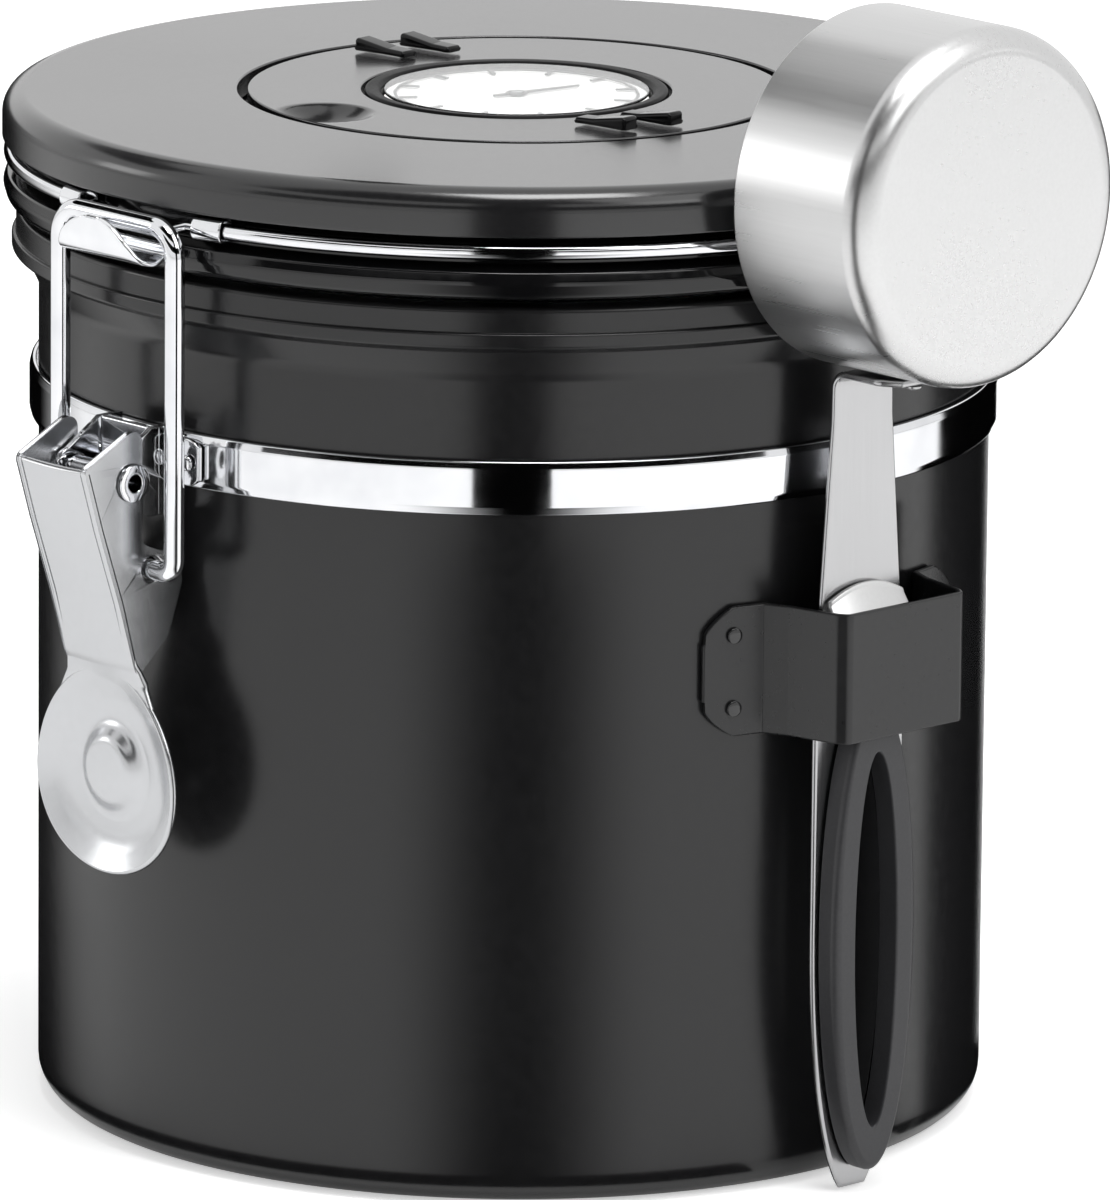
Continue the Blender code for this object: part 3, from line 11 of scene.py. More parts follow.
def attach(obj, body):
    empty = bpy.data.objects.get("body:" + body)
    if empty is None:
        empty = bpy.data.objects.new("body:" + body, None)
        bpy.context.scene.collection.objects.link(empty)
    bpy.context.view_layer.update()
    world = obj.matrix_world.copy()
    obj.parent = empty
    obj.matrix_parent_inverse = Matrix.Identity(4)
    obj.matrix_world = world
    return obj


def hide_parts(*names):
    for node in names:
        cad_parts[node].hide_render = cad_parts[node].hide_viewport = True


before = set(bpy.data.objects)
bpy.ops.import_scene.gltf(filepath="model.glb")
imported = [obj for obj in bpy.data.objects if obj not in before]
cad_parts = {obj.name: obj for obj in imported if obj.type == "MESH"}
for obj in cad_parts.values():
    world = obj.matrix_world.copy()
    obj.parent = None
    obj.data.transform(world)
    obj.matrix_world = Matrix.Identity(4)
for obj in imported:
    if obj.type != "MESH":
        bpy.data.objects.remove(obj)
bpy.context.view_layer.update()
print("frame loaded:", len(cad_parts), "nodes")

mm = 0.001                      # every length below is in millimetres, and goes into the mesh in metres
front = np.array([0.0, -1.0, 0.0])
rear = np.array([0.0, 1.0, 0.0])
right = np.array([1.0, 0.0, 0.0])
up = np.array([0.0, 0.0, 1.0])
chrome = {"slot": "chrome", "finish": "chromePlate"}    # what the chromed pieces share
noiseSpread = {"From Min": 0.7, "From Max": 1.3}        # where the sum of two noises mostly lies
weldGap = 2e-7                  # metres within which two points of a piece are one
sharpAngle = 38                 # degrees from which an edge is drawn sharp


# The level direction at some degrees round from the right, by way of the rear
def spoke(degrees):
    return np.array([cos(radians(degrees)), sin(radians(degrees)), 0])


# sRGB hex to the linear numbers that a shader takes
def linearColour(hexValue):
    parts = [int(hexValue[k:k + 2], 16) / 255 for k in (1, 3, 5)]
    return [c / 12.92 if c <= 0.04045 else ((c + 0.055) / 1.055) ** 2.4 for c in parts] + [1.0]


# Adds a node and gives its outputs. Each setting is a property of the node, the value of an input, or another
# node's output, which is linked to the input
def addNode(tree, kind, settings={}):
    node = tree.nodes.new(kind)
    for key, value in settings.items():
        if isinstance(value, bpy.types.NodeSocket):
            tree.links.new(value, node.inputs[key])
        elif isinstance(key, str) and hasattr(node, key):
            setattr(node, key, value)
        else:
            node.inputs[key].default_value = value
    return node.outputs


# A material whose shader has these sockets set, with its node tree and shader
def newMaterial(name, sockets):
    material = bpy.data.materials.new(name)
    material.use_nodes = True
    shader = material.node_tree.nodes["Principled BSDF"]
    for socket, value in sockets.items():
        shader.inputs[socket].default_value = value
    return material, material.node_tree, shader


# Mesh, lamp or camera data as an object in the scene
def addObject(name, data):
    thing = bpy.data.objects.new(name, data)
    bpy.context.scene.collection.objects.link(thing)
    return thing


# Finishes: the darker and the lighter colour, then in mm the size of the patches and of the grain that vary
# them and the grain's height, then the lowest and highest roughness, the sockets and the grain's stretch
finishValues = {
    # satin black stove enamel on steel: even and deep, with a faint orange peel in its reflections
    "satinBlackEnamel": ("#151516", "#19191a", 60, 1.4, 0.0010, 0.22, 0.27, {"IOR": 1.5}),
    # black enamel on the pressed bracket: the same paint, a little less even over the bends
    "bracketEnamel": ("#19191a", "#1f1f20", 20, 0.9, 0.0012, 0.26, 0.32, {"IOR": 1.5}),
    # the same enamel where it pools over the bracket's spot welds: glossier, so each shows a glint
    "weldEnamel": ("#151516", "#1b1b1c", 6, 0.5, 0.0006, 0.12, 0.16,
                   {"IOR": 1.5, "Coat Weight": 0.5, "Coat Roughness": 0.04}),
    # bright chrome plate on steel: mirror-like, with the slight waves of the rolled sheet under it
    "chromePlate": ("#dcdde0", "#e9eaec", 14, 5.0, 0.004, 0.05, 0.10, {"Metallic": 1.0}),
    # chrome plate on the thumb lever: rubbed by hands, so its mirror is a little softer
    "satinChrome": ("#bfc0c2", "#c3c4c6", 30, 1.0, 0.0003, 0.22, 0.25, {"Metallic": 1.0}),
    # charcoal enamel on the lid: satin, so a low view of its top shows mostly the pale room in it
    "charcoalEnamel": ("#171718", "#1b1b1c", 45, 0.8, 0.0007, 0.22, 0.25,
                       {"IOR": 1.5, "Coat Weight": 0.5, "Coat Roughness": 0.13}),
    # black moulded plastic, satin from the mould's spark texture, drawn about three times too coarse to show
    "satinBlackPlastic": ("#303032", "#38383a", 18, 0.45, 0.004, 0.36, 0.44, {"IOR": 1.46}),
    # black moulded plastic polished in the mould: sharp small highlights
    "glossBlackPlastic": ("#0c0c0d", "#111112", 10, 1.2, 0.0008, 0.08, 0.14, {"IOR": 1.5}),
    # the same plastic worn smooth on the date ring's grips: black, with a small window glint on each edge
    "gripBlackPlastic": ("#070708", "#0b0b0c", 8, 0.8, 0.0006, 0.10, 0.15,
                         {"IOR": 1.5, "Specular IOR Level": 0.25}),
    # stainless steel brushed along the cup, from its rim to its floor, whose flat stays an even matt
    "satinSteel": ("#cecece", "#d3d3d3", 25, 1.0, 0.0003, 0.27, 0.31, {"Metallic": 1.0}, (0.06, 2.0, 2.0)),
    # stainless steel brushed along the handle: lines a few tenths apart
    "brushedSteel": ("#b2b2b3", "#b9b9ba", 16, 1.0, 0.0004, 0.22, 0.26, {"Metallic": 1.0}, (0.2, 5.0, 0.06)),
    # black moulded plastic with a matt texture, so it stays dark from low down
    "mattBlackPlastic": ("#070708", "#0c0c0d", 8, 0.4, 0.002, 0.35, 0.45,
                         {"IOR": 1.4, "Specular IOR Level": 0.12}),
    # white card of the dial: matt, with a little tooth
    "whiteCard": ("#e6e6e3", "#eeeeec", 12, 0.3, 0.003, 0.55, 0.65, {"IOR": 1.45}),
    # black ink of the dial's ticks, and the same flat black on its hand
    "blackInk": ("#1c1c1d", "#262627", 6, 0.3, 0.001, 0.45, 0.55, {"IOR": 1.5}),
    # clear moulded acrylic window over the dial
    "clearAcrylic": ("#fafbfc", "#ffffff", 20, 4.0, 0.0006, 0.01, 0.03,
                     {"Transmission Weight": 1.0, "IOR": 1.49}),
    # pale silicone rubber of the seal and of the valve's flap: soft, slightly see-through, dusty
    "paleSilicone": ("#cfcfca", "#dadad6", 10, 0.6, 0.003, 0.50, 0.62,
                     {"IOR": 1.41, "Subsurface Weight": 0.2, "Subsurface Scale": 0.002}),
    # bare turned steel of the dial's spindle
    "plainSteel": ("#a9aaac", "#c2c3c5", 5, 0.5, 0.0015, 0.20, 0.30, {"Metallic": 1.0}),
}


# Broad patches vary a finish's colour and gloss, and its grain lifts the surface by a few thousandths of a mm
def makeFinish(name, dark, light, patchSize, grainSize, lift, smooth, rough, sockets, stretch=(1, 1, 1)):
    material, tree, shader = newMaterial(name, sockets)
    place = addNode(tree, "ShaderNodeTexCoord")["Object"]
    laid = addNode(tree, "ShaderNodeMapping", {"Scale": stretch, "Vector": place})["Vector"]
    patches = addNode(tree, "ShaderNodeTexNoise", {
        "Scale": 1 / (patchSize * mm), "Detail": 3.0, "Vector": place})["Fac"]
    grain = addNode(tree, "ShaderNodeTexNoise", {
        "Scale": 1 / (grainSize * mm), "Detail": 2.0, "Vector": laid})["Fac"]
    both = addNode(tree, "ShaderNodeMath", {"operation": "ADD", 0: patches, 1: grain})[0]
    shade = addNode(tree, "ShaderNodeMapRange", noiseSpread | {"Value": both})["Result"]
    colour = addNode(tree, "ShaderNodeMix", {
        "data_type": "RGBA", 0: shade, 6: linearColour(dark), 7: linearColour(light)})[2]
    gloss = addNode(tree, "ShaderNodeMapRange", noiseSpread | {
        "To Min": smooth, "To Max": rough, "Value": both})["Result"]
    bump = addNode(tree, "ShaderNodeBump", {
        "Strength": 1.0, "Distance": lift * mm, "Height": grain})["Normal"]
    for socket, output in {"Base Color": colour, "Roughness": gloss, "Normal": bump}.items():
        tree.links.new(output, shader.inputs[socket])
    return material


finishes = {name: makeFinish(name, *row) for name, row in finishValues.items()}
print("finishes made:", len(finishes))


# Surfaces. Each function gives a part's points, in millimetres, and its faces

# Rows scaled to length 1
def unit(rows):
    return rows / np.maximum(np.linalg.norm(rows, axis=1), 1e-9)[:, None]


# Angles once round
def fullTurn(steps):
    return np.linspace(0, 2 * pi, steps, endpoint=False)


# A polyline with its corners rounded: the last column is each corner's radius, and its arc touches both edges
# at radius / tan(half the corner's angle)
def rounded(points, steps=6, closed=False):
    table = np.array(points, float)
    p, r = table[:, :-1], table[:, -1:].copy()
    before, after = np.roll(p, 1, 0) - p, np.roll(p, -1, 0) - p
    if not closed:
        before[0], after[-1] = -after[0], -before[-1]
        r[0] = r[-1] = 0
    shorter = np.minimum(np.linalg.norm(before, axis=1), np.linalg.norm(after, axis=1))[:, None]
    a, b = unit(before), unit(after)
    half = np.arccos(np.clip((a * b).sum(1, keepdims=True), -1, 1)) / 2
    plain = (r == 0) | (half > pi / 2 - 1e-3)
    half = np.where(plain, pi / 4, half)
    reach = np.minimum(r / np.tan(half), 0.499 * shorter)
    centre = p + unit(a + b) * reach / np.cos(half)
    turn = pi - 2 * half
    s = np.linspace(0, 1, steps + 1)
    first, last = [(np.sin(part * turn) / np.sin(turn))[..., None] for part in (1 - s, s)]
    start, end = p + a * reach - centre, p + b * reach - centre
    arcs = centre[:, None] + first * start[:, None] + last * end[:, None]
    line = np.where(plain[..., None], p[:, None], arcs).reshape(-1, p.shape[1])
    step = np.linalg.norm(np.diff(line, axis=0), axis=1)
    return line[np.concatenate([[True], step > 1e-6])]


# Points of a grid as one part: columns close round, and rows too where wrapped; flat ends where capped
def gridPart(grid, wrapRows=False, capRows=False):
    rows, columns = grid.shape[:2]
    index = np.arange(rows * columns).reshape(rows, columns)
    ends = [index[0].tolist(), index[-1][::-1].tolist()] if capRows else []
    if wrapRows:
        index = np.vstack([index, index[:1]])
    index = np.hstack([index, index[:, :1]])
    quads = np.stack([index[:-1, :-1], index[1:, :-1], index[1:, 1:], index[:-1, 1:]], -1).reshape(-1, 4)
    return grid.reshape(-1, 3), quads.tolist() + ends


# A (radius, height) profile turned round an axis, closed unless it starts on the axis:
# point = centre + axis * height + radius * (side cos a + across sin a)
def turnedPart(profile, steps=216, centre=(0, 0, 0), axis=up, side=right):
    a = fullTurn(steps)[:, None]
    rim = np.cos(a) * side + np.sin(a) * np.cross(axis, side)
    return gridPart(centre + profile[:, None, 1:] * axis + profile[:, None, :1] * rim, profile[0, 0] > 0)


# A sleeve round an axis, its bore's and its outer edges rounded by the two radii in soft
def sleevePart(bore, radius, low, high, soft, steps, centre, axis, side):
    profile = rounded([(bore, low, soft[0]), (radius, low, soft[1]), (radius, high, soft[1]),
                       (bore, high, soft[0])], 4, closed=True)
    return turnedPart(profile, steps, centre, axis, side)


# A round wire along a path, ended by half balls: point = path + radius * (side cos a + other sin a)
def wirePart(path, radius, level=up, sides=20):
    heading = unit(np.gradient(path, axis=0))
    k = np.linspace(0, pi / 2, 5)[:-1]
    size = np.concatenate([radius * np.sin(k), np.full(len(path), float(radius)), radius * np.sin(k[::-1])])
    path = np.vstack([path[0] - heading[0] * radius * np.cos(k)[:, None], path,
                      path[-1] + heading[-1] * radius * np.cos(k[::-1])[:, None]])
    heading = np.vstack([np.repeat(heading[:1], len(k), 0), heading, np.repeat(heading[-1:], len(k), 0)])
    side = unit(np.cross(heading, level))
    a = fullTurn(sides)[:, None]
    rim = np.cos(a) * side[:, None] + np.sin(a) * np.cross(side, heading)[:, None]
    return gridPart(path[:, None] + size[:, None, None] * rim)


# A bent sheet: a rounded oblong section, as wide as the path's third column says, carried along the path;
# crown(share across, share along) lifts the sheet off it. Round the section, s and q tell a point's side of
# the middle, and c and d how far it is out at its rounded corner
def stripPart(path, thickness, edge, out, along, shift=0.0, crown=None, columns=9):
    k = np.linspace(0, pi / 2, 5)
    flat, one = np.linspace(-1, 1, columns), np.ones(len(k))
    s = np.concatenate([flat, one, one, flat[::-1], -one, -one])
    c = np.concatenate([0 * flat, np.sin(k), np.cos(k), 0 * flat, -np.sin(k), -np.cos(k)])
    q = np.concatenate([flat * 0 + 1, one, -one, flat * 0 - 1, -one, one])
    d = np.concatenate([flat * 0 + 1, np.cos(k), -np.sin(k), flat * 0 - 1, -np.cos(k), np.sin(k)])
    heading = unit(np.gradient(path[:, :2], axis=0))
    offset, inset = edge * (1 - np.sin(k[::-1])), edge * (1 - np.cos(k[::-1]))
    first = path[0] + np.column_stack([heading[0] * offset[:, None], 0 * k])
    last = path[-1] - np.column_stack([heading[-1] * offset[::-1, None], 0 * k])
    rows = np.vstack([first, path[1:-1], last])
    ends = len(k)
    heading = np.vstack([np.repeat(heading[:1], ends, 0), heading[1:-1], np.repeat(heading[-1:], ends, 0)])
    inset = np.concatenate([inset, np.zeros(len(path) - 2), inset[::-1]])[:, None]
    normal = np.column_stack([-heading[:, 1], heading[:, 0]])
    corner = np.minimum(edge, rows[:, 2:3])
    w = s * (rows[:, 2:3] - corner) + (corner - np.minimum(inset, corner)) * c
    t = q * (thickness / 2 - edge) + (edge - inset) * d
    if crown:
        length = np.concatenate([[0], np.cumsum(np.linalg.norm(np.diff(rows[:, :2], axis=0), axis=1))])
        t = t + crown(s[None, :], (length / length[-1])[:, None])
    u = rows[:, :1] + normal[:, :1] * t
    v = rows[:, 1:2] + normal[:, 1:2] * t
    across = np.cross(along, out)
    grid = u[..., None] * out + v[..., None] * along + (w + shift)[..., None] * across
    return gridPart(grid, capRows=True)


# A sheet rolled round the canister's axis. Its roll: reach to each side, bottom, top, the share by which it
# narrows over the last part of its reach, steps
def rolledPart(v, facing, along):
    reach, low, top, narrowing, steps = v["roll"]
    straight = 0.85
    share = np.linspace(1, -1, steps)
    a = share * reach / v["seat"]
    half = (top - low) / 2 * (1 - narrowing * np.maximum(np.abs(share) - straight, 0) / (1 - straight))
    middle = v["seat"] + v["sheet"] / 2
    path = np.column_stack([middle * np.cos(a), middle * np.sin(a), half])
    return stripPart(path, v["sheet"], v["edge"], facing, along, (top + low) / 2)


# A flat plate with rounded edges: each outline moves in by edge * (1 - cos k) as its height rises by
# edge * sin k to its faces; point = start + axes[0] * x + axes[1] * y + axes[2] * height
def platePart(outlines, thickness, edge, start, axes):
    k = np.linspace(0, pi / 2, 4)
    inset = np.concatenate([edge * (1 - np.sin(k)), edge * (1 - np.cos(k))])
    height = np.concatenate([edge * (1 - np.cos(k)), thickness - edge * (1 - np.sin(k))])
    points, faces, count, loops = [], [], 0, []
    for outline in outlines:
        heading = unit(np.roll(outline, -1, 0) - np.roll(outline, 1, 0))
        inward = np.column_stack([-heading[:, 1], heading[:, 0]])
        rows = outline + inset[:, None, None] * inward
        grid = start + rows[..., :1] * axes[0] + rows[..., 1:] * axes[1] + height[:, None, None] * axes[2]
        part, quads = gridPart(grid)
        points.append(part)
        faces += [[corner + count for corner in quad] for quad in quads]
        loops.append((rows[0], count, count + (len(height) - 1) * len(outline)))
        count += len(part)
    low = np.concatenate([first + np.arange(len(row)) for row, first, last in loops])
    high = np.concatenate([last + np.arange(len(row)) for row, first, last in loops])
    flat = tessellate_polygon([[Vector((x, y, 0)) for x, y in row] for row, first, last in loops])
    faces += [[int(low[c]) for c in corners] for corners in flat]
    faces += [[int(high[c]) for c in corners[::-1]] for corners in flat]
    return np.vstack(points), faces


# An ellipse or circle of points, turned anticlockwise, or clockwise for a hole
def oval(centre, halfWidth, halfHeight, steps=64, hole=False):
    a = fullTurn(steps) * (-1 if hole else 1)
    return np.column_stack([centre[0] + halfWidth * np.cos(a), centre[1] + halfHeight * np.sin(a)])


# The same, from its half width, bottom and top
def tallOval(size, steps, hole=False):
    halfWidth, low, top = size
    return oval((0, (low + top) / 2), halfWidth, (top - low) / 2, steps, hole)


# Parts become one piece: equal points are one, faces point outwards, and it takes its body and finish
def makePiece(name, parts, v):
    points, faces, count = [], [], 0
    for part, cells in parts:
        points.append(part)
        faces += [[corner + count for corner in cell] for cell in cells]
        count += len(part)
    mesh = bpy.data.meshes.new(name)
    mesh.from_pydata((np.vstack(points) * mm).tolist(), [], faces)
    work = bmesh.new()
    work.from_mesh(mesh)
    bmesh.ops.remove_doubles(work, verts=work.verts, dist=weldGap)
    bmesh.ops.recalc_face_normals(work, faces=work.faces)
    work.to_mesh(mesh)
    work.free()
    mesh.shade_smooth()
    mesh.set_sharp_from_angle(angle=radians(sharpAngle))
    piece = addObject(name, mesh)
    weighted = piece.modifiers.new("flatFaces", "WEIGHTED_NORMAL")
    weighted.keep_sharp = True
    mesh.materials.append(finishes[v["finish"]])
    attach(piece, v["body"])
    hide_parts(*v["nodes"])
    return piece


# Turned parts: each corner is (radius, height, rounding)
turnedValues = {
    "canisterBody": {
        "nodes": ["canister_body"], "body": "canister", "slot": "body_paint", "finish": "satinBlackEnamel",
        "profile": [(0, 0, 0), (60, 0, 4.3), (60, 104.8, 3.4), (61.7, 108.3, 0.15), (62.3, 108.5, 0.1),
                    (63.4, 109.2, 0.55), (63.4, 110.9, 0.3), (62.85, 111.0, 0.1), (62.85, 114.1, 0.7),
                    (58.6, 114.1, 0.8), (58.6, 105.1, 0.5), (59, 104.1, 0.5), (59, 1.2, 3.3), (0, 1.2, 0)],
    },
    "bodyBand": {
        "nodes": ["body_band"], "body": "canister", **chrome,
        "profile": [(60.3, 87.8, 0.12), (60.92, 87.8, 0.3), (61.16, 88.7, 1.2), (61.16, 93.6, 1.2),
                    (60.92, 94.56, 0.3), (60.3, 94.56, 0.12)],
    },
    "lidShell": {
        "nodes": ["lid_shell"], "body": "lid", "slot": "lid_paint", "finish": "charcoalEnamel",
        "profile": [(63.6, 123.1, 0.3), (64.6, 123.1, 0.3), (64.6, 129, 5.5), (35.1, 129, 0.25),
                    (35.1, 126.3, 0.1), (36.1, 126.3, 0.1), (36.1, 128, 0.3), (63.6, 128, 4.4)],
    },
    "lidBase": {
        "nodes": ["lid_base"], "body": "lid", "slot": "black_plastic", "finish": "glossBlackPlastic",
        "profile": [(57.5, 114.7, 0), (61.4, 114.7, 0.5), (63.9, 115.4, 1.4), (64.5, 117.4, 1.3),
                    (64.05, 118.75, 0.5), (61.4, 119.3, 0.3), (61.4, 126, 0), (8.3, 126, 0), (8.3, 124.8, 0),
                    (54.5, 124.8, 1), (54.5, 110.4, 0.5), (56.1, 110.4, 0.2), (56.1, 114.4, 0),
                    (57.5, 114.4, 0)],
    },
    "lidGasket": {
        "nodes": ["lid_gasket"], "body": "lid", "slot": "silicone", "finish": "paleSilicone",
        "profile": [(56.4, 110.8, 0.1), (57.8, 110.8, 0.2), (58.3, 111.92, 0.5), (57.8, 113.6, 0.2),
                    (56.4, 113.6, 0.1)],
    },
    "dialBezel": {
        "nodes": ["dial_bezel"], "body": "lid", "slot": "gloss_black", "finish": "mattBlackPlastic",
        "profile": [(16.5, 126.3, 0), (17.5, 126.3, 0), (17.5, 127.8, 0.1), (19.1, 127.8, 0.2),
                    (19.1, 129.2, 0.5), (17.6, 129.1, 0.6), (17, 128.6, 0.4), (17, 126.9, 0),
                    (16.5, 126.9, 0)],
    },
    "dialCard": {
        "nodes": ["dial_face"], "body": "lid", "slot": "white_print", "finish": "whiteCard",
        "profile": [(1, 127.2, 0), (16.7, 127.2, 0), (16.7, 127.8, 0.1), (1, 127.8, 0.1)],
    },
    "dialLens": {
        "nodes": ["dial_lens"], "body": "lid", "slot": "clear_lens", "finish": "clearAcrylic", "clear": True,
        "profile": [(0, 128.6, 0), (16.7, 128.6, 0.1), (16.7, 129, 0.15), (0, 129, 0)],
    },
}


def buildTurned(name, v):
    piece = makePiece(name, [turnedPart(rounded(v["profile"], 8, closed=True))], v)
    piece.visible_shadow = not v.get("clear")       # clear acrylic hardly shades the card under it


for pieceName, pieceValues in turnedValues.items():
    buildTurned(pieceName, pieceValues)
print("turned parts built:", len(turnedValues))


# Date ring: a flat ring with a ball-shaped finger dimple
dateRingValues = {
    "nodes": ["date_ring"], "body": "date_ring", "slot": "lid_paint", "finish": "charcoalEnamel",
    "radius": 33.8, "bore": 17.8, "step": 19.5, "low": 126.3, "lip": 127.2, "top": 129.0,
    "edge": 0.22, "lowEdge": 0.2, "stepEdge": 0.25, "gap": 0.05, "skin": 0.01, "rings": 56, "steps": 360,
    "dimplePlace": 29.0, "dimpleAngle": -98.0, "dimpleRadius": 6.0, "dimpleDepth": 2.1, "dimpleSoft": 0.3,
}


# Height of the top = ring top - the ball's drop, sqrt(ball^2 - d^2) - (ball - depth), soft where it starts
def buildDateRing(v):
    ball = (v["dimpleRadius"] ** 2 + v["dimpleDepth"] ** 2) / (2 * v["dimpleDepth"])
    side = rounded([(v["bore"], v["low"], 0), (v["radius"], v["low"], v["lowEdge"]),
                    (v["radius"], v["top"], v["edge"]), (v["step"], v["top"], 0)])
    inner = rounded([(v["radius"], v["top"], 0), (v["step"], v["top"], v["stepEdge"]),
                     (v["step"], v["lip"], 0), (v["bore"], v["lip"], 0)])
    flat = np.linspace(v["radius"] - v["edge"] - v["gap"], v["step"] + v["stepEdge"] + v["gap"], v["rings"])
    profile = np.vstack([side[:-1], np.column_stack([flat, np.full(len(flat), v["top"])]), inner[1:]])
    points, faces = turnedPart(profile, v["steps"])
    away = np.linalg.norm(points[:, :2] - v["dimplePlace"] * spoke(v["dimpleAngle"])[:2], axis=1)
    drop = np.sqrt(np.maximum(ball ** 2 - away ** 2, 0)) - (ball - v["dimpleDepth"])
    soft = v["dimpleSoft"]
    drop = np.where(drop > soft, drop, np.where(drop > -soft, (drop + soft) ** 2 / (4 * soft), 0))
    points[:, 2] -= np.where(points[:, 2] > v["top"] - v["skin"], drop, 0)
    makePiece("dateRing", [(points, faces)], v)


buildDateRing(dateRingValues)

gripBarValues = {
    "nodes": ["date_grip_left_1", "date_grip_right_1", "date_grip_left_2", "date_grip_right_2"],
    "body": "date_ring", "slot": "gloss_black", "finish": "gripBlackPlastic",
    "outline": [(-4, 0, 0.05), (4, 0, 0.05), (4, 1.7, 0.45), (1.6, 1.33, 2.5), (-1.2, 0.88, 2.5),
                (-4, 0.76, 0.35)],
    "low": 129.3, "width": 2.7, "edge": 0.4, "centre": 27.0, "spacing": 6.6, "angle": -12.0, "skew": 20.0,
}


# Each bar is its side outline spread sideways, turned a little out of line with the spoke that it stands on
def buildGripBars(v):
    outline = rounded(v["outline"], closed=True)
    parts = []
    for middle in (v["angle"], v["angle"] + 180):
        along, side = spoke(middle + v["skew"]), spoke(middle + v["skew"] + 90)
        for way in (-1, 1):
            centre = spoke(middle) * v["centre"] + spoke(middle + 90) * way * v["spacing"] / 2 + up * v["low"]
            parts.append(platePart([outline], v["width"], v["edge"], centre - side * v["width"] / 2,
                                   (along, up, side)))
    makePiece("dateGripBars", parts, v)


buildGripBars(gripBarValues)

handValues = {
    "nodes": ["dial_hand"], "body": "dial_hand", "slot": "gloss_black", "finish": "blackInk",
    "low": 128.0, "thickness": 0.3, "hub": 1.35, "eye": 1.0, "hubEdge": 0.06, "angle": 81.0,
    "bladeThickness": 0.28, "bladeEdge": 0.05, "bladeRound": 0.1,
    "blades": [[(1.1, -0.32), (9.5, -0.16), (9.5, 0.16), (1.1, 0.32)],
               [(-3.5, -0.28), (-1.1, -0.28), (-1.1, 0.28), (-3.5, 0.28)]],
}


def buildHand(v):
    start, axes = up * v["low"], (spoke(v["angle"]), spoke(v["angle"] + 90), up)
    rings = [oval((0, 0), v["hub"], v["hub"]), oval((0, 0), v["eye"], v["eye"], 48, True)]
    parts = [platePart(rings, v["thickness"], v["hubEdge"], start, axes)]
    for blade in v["blades"]:
        outline = rounded([(x, y, v["bladeRound"]) for x, y in blade], 3, closed=True)
        parts.append(platePart([outline], v["bladeThickness"], v["bladeEdge"], start, axes))
    makePiece("dialHand", parts, v)


buildHand(handValues)
print("dial built")


# Wire ring round the lid, its ferrules and the catch
ringWireValues = {
    "nodes": ["lid_ring_wire", "ring_ferrule_left", "ring_ferrule_right"], "body": "lid", **chrome,
    "centre": 63.4, "wire": 1.0, "height": 121.2, "gapAngle": 11.2,
    "ferrule": 1.6, "bore": 1.3, "ferruleLength": 4.4, "ferruleSoft": (0.05, 0.15),
}


def buildRingWire(v):
    a = np.radians(np.linspace(v["gapAngle"], 360 - v["gapAngle"], 289))
    path = np.column_stack([v["centre"] * np.sin(a), -v["centre"] * np.cos(a), np.full(len(a), v["height"])])
    parts = [wirePart(path, v["wire"])]
    half = v["ferruleLength"] / 2
    for way in (-1, 1):
        out = spoke(way * v["gapAngle"] - 90)
        parts.append(sleevePart(v["bore"], v["ferrule"], -half, half, v["ferruleSoft"], 32,
                                out * v["centre"] + up * v["height"], np.cross(up, out), up))
    makePiece("lidRingWire", parts, v)


buildRingWire(ringWireValues)

catchValues = {
    "nodes": ["catch_wire", "catch_hook"], "body": "lid", **chrome, "wire": 0.6, "sheet": 0.7, "edge": 0.3,
    # (sideways, distance, height, rounding) of half the wire
    "wireHalf": [(12.0, 62.25, 121.2, 0), (10.2, 62.6, 121.2, 1), (8.5, 62.83, 121.2, 1.2),
                 (5.0, 64.3, 119.9, 0)],
    # (distance, height, half width, rounding) along the hook's middle, from its root to its lip
    "hook": [(65.55, 119.2, 8.4, 0), (66.04, 117.64, 8.4, 1.2), (67.5, 116.8, 8.4, 1.6),
             (69.65, 117.3, 8.4, 1.9), (70.6, 119.4, 8.4, 2.5), (70.8, 122.2, 8.4, 0)],
    "hookRound": 2.3, "lipShare": 0.02, "hookSteps": 61, "crowding": 0.8,
}


# The hook narrows towards its lip as sqrt(1 - share along ^ hookRound), on steps that crowd there
def buildCatch(v):
    half = rounded(v["wireHalf"])
    whole = np.vstack([half, half[::-1] * [-1, 1, 1]])
    path = np.column_stack([whole[:, 0], -whole[:, 1], whole[:, 2]])
    tongue = rounded(v["hook"], 10)
    length = np.concatenate([[0], np.cumsum(np.linalg.norm(np.diff(tongue[:, :2], axis=0), axis=1))])
    share = np.linspace(0, 1, v["hookSteps"]) ** v["crowding"]
    tongue = np.column_stack([np.interp(share * length[-1], length, column) for column in tongue.T])
    tongue[:, 2] *= np.maximum(1 - share ** v["hookRound"], v["lipShare"]) ** 0.5
    hook = stripPart(tongue, v["sheet"], v["edge"], front, up)
    makePiece("catch", [wirePart(path, v["wire"], sides=14), hook], v)


buildCatch(catchValues)
print("ring and catch built")


# Latch: bracket, pin, lever and bail
bracketValues = {
    "nodes": ["latch_bracket"], "body": "canister", **chrome,
    "sheet": 0.8, "edge": 0.25, "halfWidth": 5.2, "low": 84.5, "top": 95.7, "seat": 61.46, "frontFace": 65.6,
    "fold": 0.9, "roll": (9.2, 88.2, 94.16, 0.25, 33), "earEdge": 0.15, "earGap": 0.02,
    "pivot": (69.9, 89.6), "boss": 2.9, "bossAngle": 75.0, "bore": 2.1,
}


